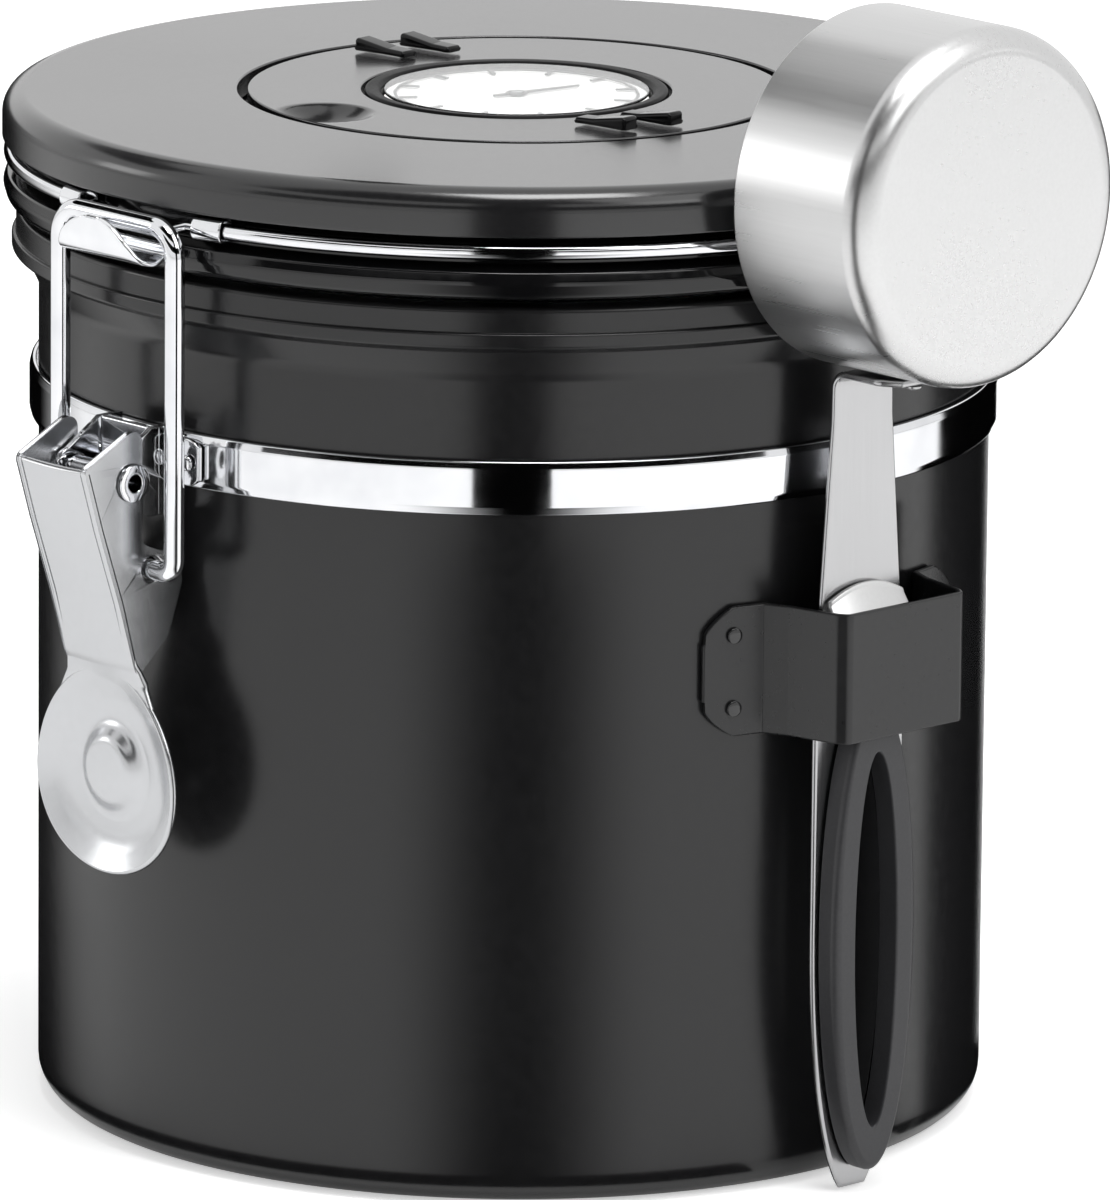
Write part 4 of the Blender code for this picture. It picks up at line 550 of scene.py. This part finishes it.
# The box is one sheet folded in plan, the flanges are rolled round the band, the ears are plates with a boss
def buildLatchBracket(v):
    middle = v["seat"] + v["sheet"] / 2
    tall = (v["top"] - v["low"]) / 2
    side = v["halfWidth"] - v["sheet"] / 2
    face = v["frontFace"] - v["sheet"] / 2
    box = rounded([(middle, side, tall, 0), (face, side, tall, v["fold"]), (face, -side, tall, v["fold"]),
                   (middle, -side, tall, 0)])
    parts = [stripPart(box, v["sheet"], v["edge"], front, -right, (v["top"] + v["low"]) / 2),
             rolledPart(v, front, -right)]
    b = np.radians(np.linspace(-v["bossAngle"], v["bossAngle"], 25))
    boss = np.array(v["pivot"]) + v["boss"] * np.column_stack([np.cos(b), np.sin(b)])
    ear = np.vstack([[(middle, v["low"]), (v["frontFace"], v["low"])], boss,
                     [(v["frontFace"], v["top"]), (middle, v["top"])]])
    hole = oval(v["pivot"], v["bore"], v["bore"], 40, True)
    for way in (-1, 1):
        start = right * (way * (v["halfWidth"] - v["earGap"]) - v["sheet"] * (way + 1) / 2)
        parts.append(platePart([ear, hole], v["sheet"], v["earEdge"], start, (front, up, right)))
    makePiece("latchBracket", parts, v)


buildLatchBracket(bracketValues)

# Pins across the canister: (radius, sideways, rounding) of the first half of each profile
pinValues = {
    "latchPin": {
        "nodes": ["latch_pivot_pin"], "body": "canister", **chrome, "place": (front, 69.9, 89.6),
        "half": [(1.1, -7.1, 0.15), (2.4, -7.1, 0.2), (2.4, -6.8, 0.05), (1.8, -6.8, 0)],
    },
    "hingePin": {
        "nodes": ["hinge_pin"], "body": "canister", **chrome, "place": (rear, 69.0, 116.0),
        "half": [(0, -8.6, 0), (1.8, -8.6, 0.25), (1.8, -8.3, 0.05), (1.2, -8.3, 0)],
    },
}


def buildPin(name, v):
    facing, distance, height = v["place"]
    whole = v["half"] + [(radius, -far, soft) for radius, far, soft in v["half"][::-1]]
    profile = rounded(whole, 4, closed=True)
    makePiece(name, [turnedPart(profile, 48, facing * distance + up * height, right, up)], v)


for pieceName, pieceValues in pinValues.items():
    buildPin(pieceName, pieceValues)

leverValues = {
    "nodes": ["latch_lever"], "body": "latch_lever", "slot": "chrome", "finish": "satinChrome",
    "sheet": 1.0, "edge": 0.42, "halfWidth": 6.5, "webCrown": 0.35,
    # (distance, height, half width, rounding) down the web's middle line and into the thumb plate
    "web": [(77.4, 92.0, 6.5, 0), (75.02, 84.13, 6.5, 30), (71.73, 74.5, 6.5, 30), (69.35, 66.3, 6.5, 6),
            (68.35, 63.6, 7.3, 3), (67.9, 60.6, 8.6, 0)], "blendTop": 66.6, "blendLength": 3.2, "lap": 0.005,
    # (distance, height, rounding) round a cheek
    "cheek": [(77.4, 92.0, 0.8), (68.6, 96.4, 1.2), (68.6, 81.6, 1.2), (67.2, 80.85, 0.6), (64.5, 79.9, 1.6),
              (61.8, 76.6, 1.6), (64.2, 69.72, 3), (68.9, 65.4, 0.5), (69.3, 66.3, 0), (71.73, 74.5, 30),
              (75.02, 84.13, 30)], "cheekEdge": 0.3,
    "pivot": (69.9, 89.6), "pivotBore": 2.1, "bail": (66.7, 78.3), "bailBore": 1.55,
    "spoonHalfWidth": 12.75, "spoonHalfHeight": 13.2, "spoonHeight": 52.0, "spoonDistance": 67.8,
    "spoonTaper": 0.10,
    # (distance from the middle up the plate, depth, rounding) out to the thumb plate's rim
    "bowl": [(0, -0.1, 0), (3.9, -0.2, 2), (5.8, -1.85, 2.4), (9.6, -1.35, 9), (12.7, 0, 0)],
}


# Thumb plate: x = half width * s * sin a * (1 - taper * s cos a) and z = half height * s cos a, where s runs
# from the middle to the rim, and the bowl gives how far each ring of it stands out
def spoonPart(v):
    bowl = rounded(v["bowl"], 8)
    share, depth = bowl[:, 0] / v["spoonHalfHeight"], bowl[:, 1]
    k = np.linspace(-pi / 2, pi / 2, 9)[1:-1]
    half = v["sheet"] / 2
    rim = share[-1] + (1 - share[-1]) * np.cos(k)
    s = np.concatenate([share, rim, share[::-1]])[:, None]
    h = np.concatenate([depth, depth[-1] + half + half * np.sin(k), depth[::-1] + v["sheet"]])[:, None]
    a = fullTurn(144)
    x = v["spoonHalfWidth"] * s * np.sin(a) * (1 - v["spoonTaper"] * s * np.cos(a))
    z = v["spoonHeight"] + v["spoonHalfHeight"] * s * np.cos(a)
    return gridPart(np.stack([x, -(v["spoonDistance"] + h + 0 * a), z], -1))


# The web is a little hollow across. Its foot is drawn onto the thumb plate: its face moves to the plate's as
# 3 b^2 - 2 b^3, b growing downward
def webPart(v):
    path, bowl = rounded(v["web"], 10), rounded(v["bowl"], 8)
    crown = lambda across, along: -v["webCrown"] * across ** 2 * np.minimum(1, 3 * (1 - along))
    points, faces = stripPart(path, v["sheet"], v["edge"], front, up, crown=crown, columns=17)
    x, z = points[:, 0], points[:, 2]
    far, high = path[::-1, 0], path[::-1, 1]
    lean = np.interp(z, high, np.gradient(far, high))
    face = np.interp(z, high, far) + v["sheet"] / 2 * np.sqrt(1 + lean ** 2)
    share = np.hypot(x / v["spoonHalfWidth"], (z - v["spoonHeight"]) / v["spoonHalfHeight"])
    bowlDepth = np.interp(share * v["spoonHalfHeight"], bowl[:, 0], bowl[:, 1])
    plate = v["spoonDistance"] + v["sheet"] + bowlDepth + v["lap"]
    b = np.clip((v["blendTop"] - z) / v["blendLength"], 0, 1)
    points[:, 1] -= (3 * b ** 2 - 2 * b ** 3) * (plate - face)
    return points, faces


def buildLever(v):
    parts = [webPart(v), spoonPart(v)]
    cheek = rounded(v["cheek"], 8, closed=True)[::-1]
    holes = [oval(v["pivot"], v["pivotBore"], v["pivotBore"], 40, True),
             oval(v["bail"], v["bailBore"], v["bailBore"], 40, True)]
    for low in (-v["halfWidth"], v["halfWidth"] - v["sheet"]):
        parts.append(platePart([cheek] + holes, v["sheet"], v["cheekEdge"], right * low, (front, up, right)))
    makePiece("latchLever", parts, v)


buildLever(leverValues)

bailValues = {
    "nodes": ["latch_bail"], "body": "latch_bail", **chrome, "wire": 1.25, "distance": 66.7,
    # (sideways, height, rounding) up one side and along half the bar
    "half": [(5.8, 78.3, 0), (10.6, 78.3, 1.85), (10.6, 121.4, 3.7), (0, 121.4, 0)],
}


def buildBail(v):
    half = rounded(v["half"], 14)[:-1]
    whole = np.vstack([half, half[::-1] * [-1, 1]])
    path = np.column_stack([whole[:, 0], np.full(len(whole), -v["distance"]), whole[:, 1]])
    makePiece("latchBail", [wirePart(path, v["wire"], rear, 28)], v)


buildBail(bailValues)
print("latch built")


# Hinge
hingeValues = {
    "nodes": ["hinge_bracket"], "body": "canister", **chrome, "sheet": 1.0, "edge": 0.35, "halfWidth": 8.0,
    # (distance, height, half width, rounding) up the plate and up each tab
    "plate": [(61.96, 84.0, 8, 0), (61.96, 96.0, 8, 3), (66.9, 102.0, 8, 3), (66.9, 111.4, 8, 0)],
    "tab": [(66.9, 111.2, 2.35, 0), (66.9, 116.0, 2.35, 0)],
    "tabMiddle": 5.65, "gap": 3.3,
    "pivot": (69.0, 116.0), "knuckle": 2.6, "bore": 1.5, "knuckleSoft": (0.1, 0.25),
}


def knucklePart(low, high):
    v = hingeValues
    distance, height = v["pivot"]
    return sleevePart(v["bore"], v["knuckle"], low, high, v["knuckleSoft"], 48, rear * distance + up * height,
                      right, up)


def buildHingeBracket(v):
    parts = [stripPart(rounded(v["plate"], 8), v["sheet"], v["edge"], rear, up)]
    tab = np.array(v["tab"])[:, :3]
    for way in (-1, 1):
        parts.append(stripPart(tab, v["sheet"], v["edge"], rear, up, way * v["tabMiddle"]))
        parts.append(knucklePart(*sorted((way * v["gap"], way * v["halfWidth"]))))
    makePiece("hingeBracket", parts, v)


buildHingeBracket(hingeValues)

leafValues = {
    "nodes": ["lid_hinge_leaf"], "body": "lid", **chrome,
    "sheet": 0.8, "edge": 0.3, "seat": 64.9, "roll": (8.0, 116.6, 124.0, 0.3, 25),
    "strap": [(65.3, 121.2, 3, 0), (68.0, 121.2, 3, 1.5), (69.8, 118.1, 3, 0)], "knuckleHalf": 3.0,
}


def buildHingeLeaf(v):
    parts = [rolledPart(v, rear, right), stripPart(rounded(v["strap"]), v["sheet"], v["edge"], rear, up),
             knucklePart(-v["knuckleHalf"], v["knuckleHalf"])]
    makePiece("lidHingeLeaf", parts, v)


buildHingeLeaf(leafValues)
print("hinge built")


# Rivets and welds, as low domes: (degrees round from the right, distance, sideways, height) of each
domeValues = {
    "canisterRivets": {
        "nodes": ["latch_rivet_left", "latch_rivet_right", "hinge_rivet_left", "hinge_rivet_right"],
        "body": "canister", **chrome, "radius": 1.0, "rise": 0.5,
        "places": [(-96.99, 62.56, 0, 91.18), (-83.01, 62.56, 0, 91.18), (90, 62.76, -4.8, 91.18),
                   (90, 62.76, 4.8, 91.18)],
    },
    "scoopWelds": {
        "nodes": ["scoop_weld_left_low", "scoop_weld_left_high", "scoop_weld_right_low",
                  "scoop_weld_right_high"],
        "body": "canister", "slot": "chrome", "finish": "weldEnamel", "radius": 1.0, "rise": 0.25,
        "places": [(turn, 61.4, 0, height) for turn in (-16.52, 16.52) for height in (62.4, 71.6)],
    },
}


# A dome of some radius and rise: its profile is a quarter ellipse over a short upright foot
def domePart(centre, facing, radius, rise):
    foot = 0.25
    k = np.linspace(0, pi / 2, 8)
    curve = np.column_stack([radius * np.cos(k), rise * (foot + (1 - foot) * np.sin(k))])
    side = right if abs(facing[2]) > 0.9 else np.cross(facing, up)
    return turnedPart(np.vstack([[(0, 0), (radius, 0)], curve]), 28, centre, facing, side)


def buildDomes(name, v):
    parts = []
    for turn, distance, sideways, height in v["places"]:
        centre = spoke(turn) * distance + spoke(turn + 90) * sideways + up * height
        parts.append(domePart(centre, spoke(turn), v["radius"], v["rise"]))
    makePiece(name, parts, v)


for pieceName, pieceValues in domeValues.items():
    buildDomes(pieceName, pieceValues)


# Scoop: cup, handle strip, grip and ferrule
scoopSide = -2.6                # how far the scoop's middle lies towards the rear

cupValues = {
    "nodes": ["scoop_cup"], "body": "scoop", "slot": "brushed_steel", "finish": "satinSteel",
    "rim": 65.2, "height": 127.3,
    # (radius, distance from the rim, rounding)
    "profile": [(0, 22.2, 0), (22.3, 22.2, 3.4), (22.3, 0, 0.4), (21.4, 0, 0.4), (21.4, 21.3, 2.5),
                (0, 21.3, 0)],
}


def buildCup(v):
    centre = right * v["rim"] + rear * scoopSide + up * v["height"]
    makePiece("scoopCup", [turnedPart(rounded(v["profile"], 12), 160, centre, right, up)], v)


buildCup(cupValues)

handleValues = {
    "nodes": ["scoop_handle", "scoop_rivet_1", "scoop_rivet_2"], "body": "scoop", "slot": "brushed_steel",
    "finish": "brushedSteel", "back": 64.9, "sheet": 0.9, "edge": 0.42,
    "tip": 0.4, "tipAngle": 16.0, "tipStart": 0.15, "widest": 33.0, "halfWidth": 7.6, "straightTop": 63.0,
    "split": 67.0, "splitHalfWidth": 7.35,
    "opening": (4.6, 7.4, 57.6),        # half width, bottom, top
    # (distance, height, half width, rounding) up the rest of the strip and out along the tab under the cup
    "upper": [(65.35, 67.0, 7.35, 0), (65.35, 77.0, 6.7, 14), (65.35, 98.0, 5.1, 8), (65.35, 104.25, 5, 1.9),
              (73.0, 104.25, 5, 2.5), (75.85, 104.25, 3.4, 0)],
    "rivets": [(70.81, 103.5), (74.38, 103.5)], "rivetRadius": 1.0, "rivetRise": 0.5,
}


# The foot is a leaf: height = widest - reach * cos(turn) / cos(tip angle), half width = full * sin(turn)
def buildHandle(v):
    turn = np.radians(np.linspace(v["tipAngle"], 90, 40))
    height = v["widest"] - (v["widest"] - v["tip"]) * np.cos(turn) / cos(turn[0])
    width = v["halfWidth"] * np.sin(turn)
    tip = np.array([[width[0] * share, height[0]] for share in np.linspace(v["tipStart"], 1, 6)[:-1]])
    side = np.vstack([tip, np.column_stack([width, height]),
                      [(v["halfWidth"], v["straightTop"]), (v["splitHalfWidth"], v["split"])]])
    outline = np.vstack([side, side[::-1] * [-1, 1]])
    start = right * v["back"] + rear * scoopSide
    slot = tallOval(v["opening"], 96, True)
    parts = [platePart([outline, slot], v["sheet"], v["edge"], start, (rear, up, right)),
             stripPart(rounded(v["upper"], 10), v["sheet"], v["edge"], right, up, scoopSide)]
    for distance, under in v["rivets"]:
        centre = right * distance + rear * scoopSide + up * under
        parts.append(domePart(centre, -up, v["rivetRadius"], v["rivetRise"]))
    makePiece("scoopHandle", parts, v)


buildHandle(handleValues)

gripValues = {
    "nodes": ["scoop_grip"], "body": "scoop", "slot": "grip_plastic", "finish": "satinBlackPlastic",
    "back": 66.1, "front": 69.3, "wall": 3.5, "outerEdge": 1.1, "innerEdge": 0.35, "backEdge": 0.25,
    "whole": (7.0, 3.0, 63.0), "opening": (3.5, 8.7, 56.4),     # half width, bottom, top
}


# A ring section carried between two ovals: share 0 is the slot's oval and share 1 the outer one. Its rounded
# edges keep their size where the wall is wider than its thinnest
def buildGrip(v):
    inner, outer = tallOval(v["opening"], 160), tallOval(v["whole"], 160)
    wide = np.linalg.norm(outer - inner, axis=1)[:, None]
    thick, wall = v["front"] - v["back"], v["wall"]
    section = rounded([(0, 0, v["backEdge"]), (wall, 0, v["backEdge"]), (wall, thick, v["outerEdge"]),
                       (0, thick, v["innerEdge"])], 8, closed=True)
    fromInner, height = section.T
    share = np.where(fromInner < wall / 2, fromInner / wide, 1 - (wall - fromInner) / wide)
    plan = inner[:, None] + (outer - inner)[:, None] * share[..., None]
    grid = (v["back"] + height)[:, None] * right + (plan[..., :1] + scoopSide) * rear + plan[..., 1:] * up
    makePiece("scoopGrip", [gridPart(grid, wrapRows=True)], v)


buildGrip(gripValues)

ferruleValues = {
    "nodes": ["scoop_ferrule"], "body": "scoop", "slot": "brushed_steel", "finish": "satinSteel",
    "sheet": 0.7, "edge": 0.25, "archDrop": 1.9, "archFoot": 66.0,
    # (distance, height, half width, rounding) up the sheet, which leans back to the strip at its top
    "sheetLine": [(68.9, 63.4, 6.6, 0), (68.9, 72.6, 6.6, 1.2), (66.55, 76.9, 6.4, 0.5),
                  (66.45, 77.6, 6.3, 0)],
}


# A ferrule of sheet, whose top falls away to its sides as arch drop * share^2 and closes on the strip
def buildFerrule(v):
    path = rounded(v["sheetLine"], 8)
    points, faces = stripPart(path, v["sheet"], v["edge"], right, up, scoopSide, columns=25)
    share = (points[:, 1] - scoopSide) / v["sheetLine"][0][2]
    high = np.clip((points[:, 2] - v["archFoot"]) / (v["sheetLine"][-1][1] - v["archFoot"]), 0, 1)
    points[:, 2] -= v["archDrop"] * share ** 2 * high
    makePiece("scoopFerrule", [(points, faces)], v)


buildFerrule(ferruleValues)

scoopBracketValues = {
    "nodes": ["scoop_bracket"], "body": "canister", "slot": "body_paint", "finish": "bracketEnamel",
    "sheet": 0.8, "edge": 0.28, "height": 67.0, "tall": 8.2, "foot": 60.7,
    "flangeEnd": 20.4, "straight": 16.5, "wallFoot": 12.46, "bendStart": 0.9, "bend": 0.6, "endShare": 0.45,
    # (distance, sideways, half height, rounding) round half the tunnel
    "tunnel": [(62.7, 11.7, 8.2, 1.5), (69.6, 10.3, 8.2, 1.2), (70.8, 9.5, 8.2, 0.8)],
}


# The flange lies on the body and tapers as endShare + (1 - endShare) * sqrt(share); the tunnel stands off it
def buildScoopBracket(v):
    a = np.linspace(v["flangeEnd"], v["wallFoot"] + v["bendStart"], 22)
    share = np.clip((v["flangeEnd"] - a) / (v["flangeEnd"] - v["straight"]), 0, 1)
    tall = v["tall"] * (v["endShare"] + (1 - v["endShare"]) * np.sqrt(share))
    turn, last = np.radians(a), radians(v["wallFoot"])
    flange = np.column_stack([v["foot"] * np.cos(turn), v["foot"] * np.sin(turn), tall])
    tunnel = rounded([(*flange[-1], 0), (v["foot"] * cos(last), v["foot"] * sin(last), v["tall"], v["bend"])]
                     + v["tunnel"] + [(v["tunnel"][-1][0], 0, v["tall"], 0)], 8)
    half = np.vstack([flange[:-1], tunnel[:-1]])
    path = np.vstack([half, half[::-1] * [1, -1, 1]])
    path[:, 1] *= -1
    makePiece("scoopBracket", [stripPart(path, v["sheet"], v["edge"], right, front, v["height"])], v)


buildScoopBracket(scoopBracketValues)
print("scoop built")


# Frame nodes that keep their shape
keptFinishes = {
    "dial_ticks": "blackInk", "dial_spindle": "plainSteel", "valve_body": "satinBlackPlastic",
    "valve_cap": "satinBlackPlastic", "valve_flap": "paleSilicone",
}
for nodeName, finishName in keptFinishes.items():
    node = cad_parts[nodeName]
    node.data.materials.clear()
    node.data.materials.append(finishes[finishName])
print("kept nodes finished:", len(keptFinishes))


# Camera: the photograph's place and lens, from a fit of the base, rim and lid ellipses
cameraValues = {
    "distance": 1.71325,        # metres from the canister's axis, along the ground
    "height": 0.46438,
    "azimuth": 47.0,            # degrees round from the latch towards the scoop
    "focal": 450.43,            # mm on a 36 mm wide sensor
    "yaw": 0.0031574,           # turned right, down and anticlockwise, in radians
    "pitch": 0.2300891,
    "roll": 0.0093239,
}


def placeCamera(v):
    spot = Matrix.Translation((0, -v["distance"], v["height"]))
    aim = Matrix.Rotation(-v["yaw"], 4, "Z") @ Matrix.Rotation(pi / 2 - v["pitch"], 4, "X")
    data = bpy.data.cameras.new("camera")
    data.lens = v["focal"]
    data.sensor_width = 36
    data.sensor_fit = "HORIZONTAL"
    camera = addObject("camera", data)
    camera.matrix_world = (Matrix.Rotation(radians(v["azimuth"]), 4, "Z") @ spot @ aim
                           @ Matrix.Rotation(v["roll"], 4, "Z"))
    bpy.context.scene.camera = camera


placeCamera(cameraValues)
bpy.context.scene.view_settings.view_transform = "Standard"
print("camera placed")


# Light: a white room with soft lamps, and dark cards that only reflections see
lightValues = {
    "roomStrength": 0.5,
    # watts, size in metres, (degrees round from the camera, degrees up, metres away), the point that it faces
    "lamps": {
        "keyLamp": (5.0, 0.9, (50, 42, 1.3), (0.0, 0.0, 0.07)),
        "sideLamp": (1.0, 0.34, (-96, 13.5, 1.3), (0.0, 0.0, 0.07)),
        "topLamp": (8.0, 0.5, (20, 77, 1.3), (0.0, 0.0, 0.07)),
        "floorLamp": (0.15, 0.2, (0, 90, 0.22), (0.52, 0.41, 0.0)),
    },
}


def buildRoom(v):
    world = bpy.data.worlds.new("whiteRoom")
    bpy.context.scene.world = world
    world.use_nodes = True
    tree = world.node_tree
    ray = addNode(tree, "ShaderNodeLightPath")
    seen = addNode(tree, "ShaderNodeMath", {
        "operation": "MAXIMUM", 0: ray["Is Camera Ray"], 1: ray["Is Glossy Ray"]})[0]
    shown = addNode(tree, "ShaderNodeMath", {
        "operation": "MAXIMUM", 0: seen, 1: ray["Is Transmission Ray"]})[0]
    strength = addNode(tree, "ShaderNodeMapRange", {
        "To Min": v["roomStrength"], "To Max": 1.0, "Value": shown})["Result"]
    background = tree.nodes["Background"]
    background.inputs["Color"].default_value = (1, 1, 1, 1)
    tree.links.new(strength, background.inputs["Strength"])


def addLamp(name, power, size, place, target):
    around, above, away = place
    level = radians(above)
    heading = spoke(cameraValues["azimuth"] + around - 90) * cos(level) + up * sin(level)
    data = bpy.data.lights.new(name, "AREA")
    data.energy = power
    data.size = size
    lamp = addObject(name, data)
    lamp.location = Vector(target) + Vector(heading) * away
    lamp.rotation_euler = (-Vector(heading)).to_track_quat("-Z", "Y").to_euler()


buildRoom(lightValues)
for lampName, lampRow in lightValues["lamps"].items():
    addLamp(lampName, *lampRow)

cardValues = {
    "colour": "#050505", "steps": 73,
    # two edges: from and to in degrees round from the camera, height and distance from the axis in metres,
    # then the shares of its width over which it fades at the start and at the end
    "cards": {
        "lensCard": ((-7.5, 7.0, 0.0665, 0.145), (-7.5, 7.0, 0.30, 0.145), (0, 0)),
        "middleCard": ((-25, 28, 0.0, 0.145), (-25, 28, 0.0665, 0.145), (0.45, 0.45)),
        "middleFloorCard": ((-16, 18, 0.0004, 0.0605), (-25, 28, 0.0004, 0.145), (0.45, 0.45)),
        # painted shade and reflection: a dark card between the body and the handle, so the body and the
        # grip's sides reflect the handle's dark back and the shade behind it
        "handleCard": ((34, 58.5, 0.0, 0.0645), (34, 58.5, 0.083, 0.0645), (0.16, 0)),
        "leftEdgeCard": ((-152, -96, 0.0, 0.145), (-152, -96, 0.135, 0.145), (0, 0.6)),
        "leftFloorCard": ((-84, -54, 0.0004, 0.0605), (-152, -92, 0.0004, 0.145), (0, 0.6)),
        "rightEdgeCard": ((98, 142, 0.0, 0.145), (98, 142, 0.135, 0.145), (0.06, 0)),
        "rightFloorCard": ((60, 84, 0.0004, 0.0605), (98, 142, 0.0004, 0.145), (0.06, 0)),
        # painted shadow: a dark ring on the floor round the foot, so the lower body reflects the floor as if
        # shaded there
        "footCard": ((58, 392, 0.0004, 0.0605), (58, 392, 0.0004, 0.068), (0, 0)),
        "highCard": ((-60, 60, 0.30, 1.1), (-60, 60, 0.62, 1.1), (0, 0)),
        "upperCard": ((-75, 75, 0.95, 1.1), (-75, 75, 3.6, 1.1), (0.1, 0.1)),
        "sideCard": ((-155, -98, 0.86, 1.1), (-155, -98, 1.32, 1.1), (0, 0)),
        # painted shade: a small dark card above the lid beside the date ring's dimple, so the dimple's far
        # wall reflects dark like a shaded recess
        "dimpleCard": ((-145, -80, 0.150, 0.026), (-145, -80, 0.190, 0.026), (0, 0)),
    },
}


# A card is a strip of an upright cylinder round the canister, or of the floor, seen only in reflections; most
# stand for dark parts of the room, and some are painted shade. Its cover, how much of it is dark, rises as 3
# s^2 - 2 s^3 over its faded share
def buildCards(v):
    material, tree, shader = newMaterial("reflectedDarkAndShade", {
        "Base Color": linearColour(v["colour"]), "Roughness": 1.0, "Specular IOR Level": 0.0})
    cover = addNode(tree, "ShaderNodeAttribute", {"attribute_name": "cover"})["Fac"]
    clear = addNode(tree, "ShaderNodeBsdfTransparent")[0]
    mix = addNode(tree, "ShaderNodeMixShader", {0: cover, 1: clear, 2: shader.outputs[0]})[0]
    tree.links.new(mix, tree.nodes["Material Output"].inputs["Surface"])
    steps = v["steps"]
    share = np.linspace(0, 1, steps)
    faces = [(k, k + 1, k + 1 + steps, k + steps) for k in range(steps - 1)]
    for name, (*edges, fades) in v["cards"].items():
        points = []
        for start, end, level, away in edges:
            turn = np.radians(cameraValues["azimuth"] + start + (end - start) * share)
            points.append(np.column_stack([away * np.sin(turn), -away * np.cos(turn), level + 0 * turn]))
        dark = np.ones(steps)
        for fade, past in zip(fades, (share, 1 - share)):
            if fade:
                dark = np.minimum(dark, past / fade)
        dark = 3 * dark ** 2 - 2 * dark ** 3
        mesh = bpy.data.meshes.new(name)
        mesh.from_pydata(np.vstack(points).tolist(), [], faces)
        mesh.attributes.new("cover", "FLOAT", "POINT").data.foreach_set("value", np.tile(dark, len(edges)))
        mesh.materials.append(material)
        card = addObject(name, mesh)
        for rayKind in ("camera", "diffuse", "shadow", "transmission"):
            setattr(card, "visible_" + rayKind, False)


buildCards(cardValues)
print("lights placed")


floorValues = {"halfSize": 3.0, "colour": "#ffffff", "roughness": 0.9, "seenGlow": 0.5, "mirroredGlow": 0.2}


# A flat sheet under the object: it holds the shadow, and what is seen of it is raised to white
def buildFloor(v):
    half = v["halfSize"]
    mesh = bpy.data.meshes.new("floor")
    corners = [(-half, -half, 0), (half, -half, 0), (half, half, 0), (-half, half, 0)]
    mesh.from_pydata(corners, [], [(0, 1, 2, 3)])
    floor = addObject("floor", mesh)
    material, tree, shader = newMaterial("paleSweep", {
        "Base Color": linearColour(v["colour"]), "Roughness": v["roughness"]})
    ray = addNode(tree, "ShaderNodeLightPath")
    seen = addNode(tree, "ShaderNodeMath", {
        "operation": "MAXIMUM", 0: ray["Is Camera Ray"], 1: ray["Is Transmission Ray"]})[0]
    direct = addNode(tree, "ShaderNodeMath", {"operation": "MULTIPLY", 0: seen, 1: v["seenGlow"]})[0]
    mirrored = addNode(tree, "ShaderNodeMath", {
        "operation": "MULTIPLY", 0: ray["Is Glossy Ray"], 1: v["mirroredGlow"]})[0]
    level = addNode(tree, "ShaderNodeMath", {"operation": "MAXIMUM", 0: direct, 1: mirrored})[0]
    glow = addNode(tree, "ShaderNodeEmission", {"Strength": level})[0]
    both = addNode(tree, "ShaderNodeAddShader", {0: shader.outputs[0], 1: glow})[0]
    tree.links.new(both, tree.nodes["Material Output"].inputs["Surface"])
    mesh.materials.append(material)


buildFloor(floorValues)

print("scene done")
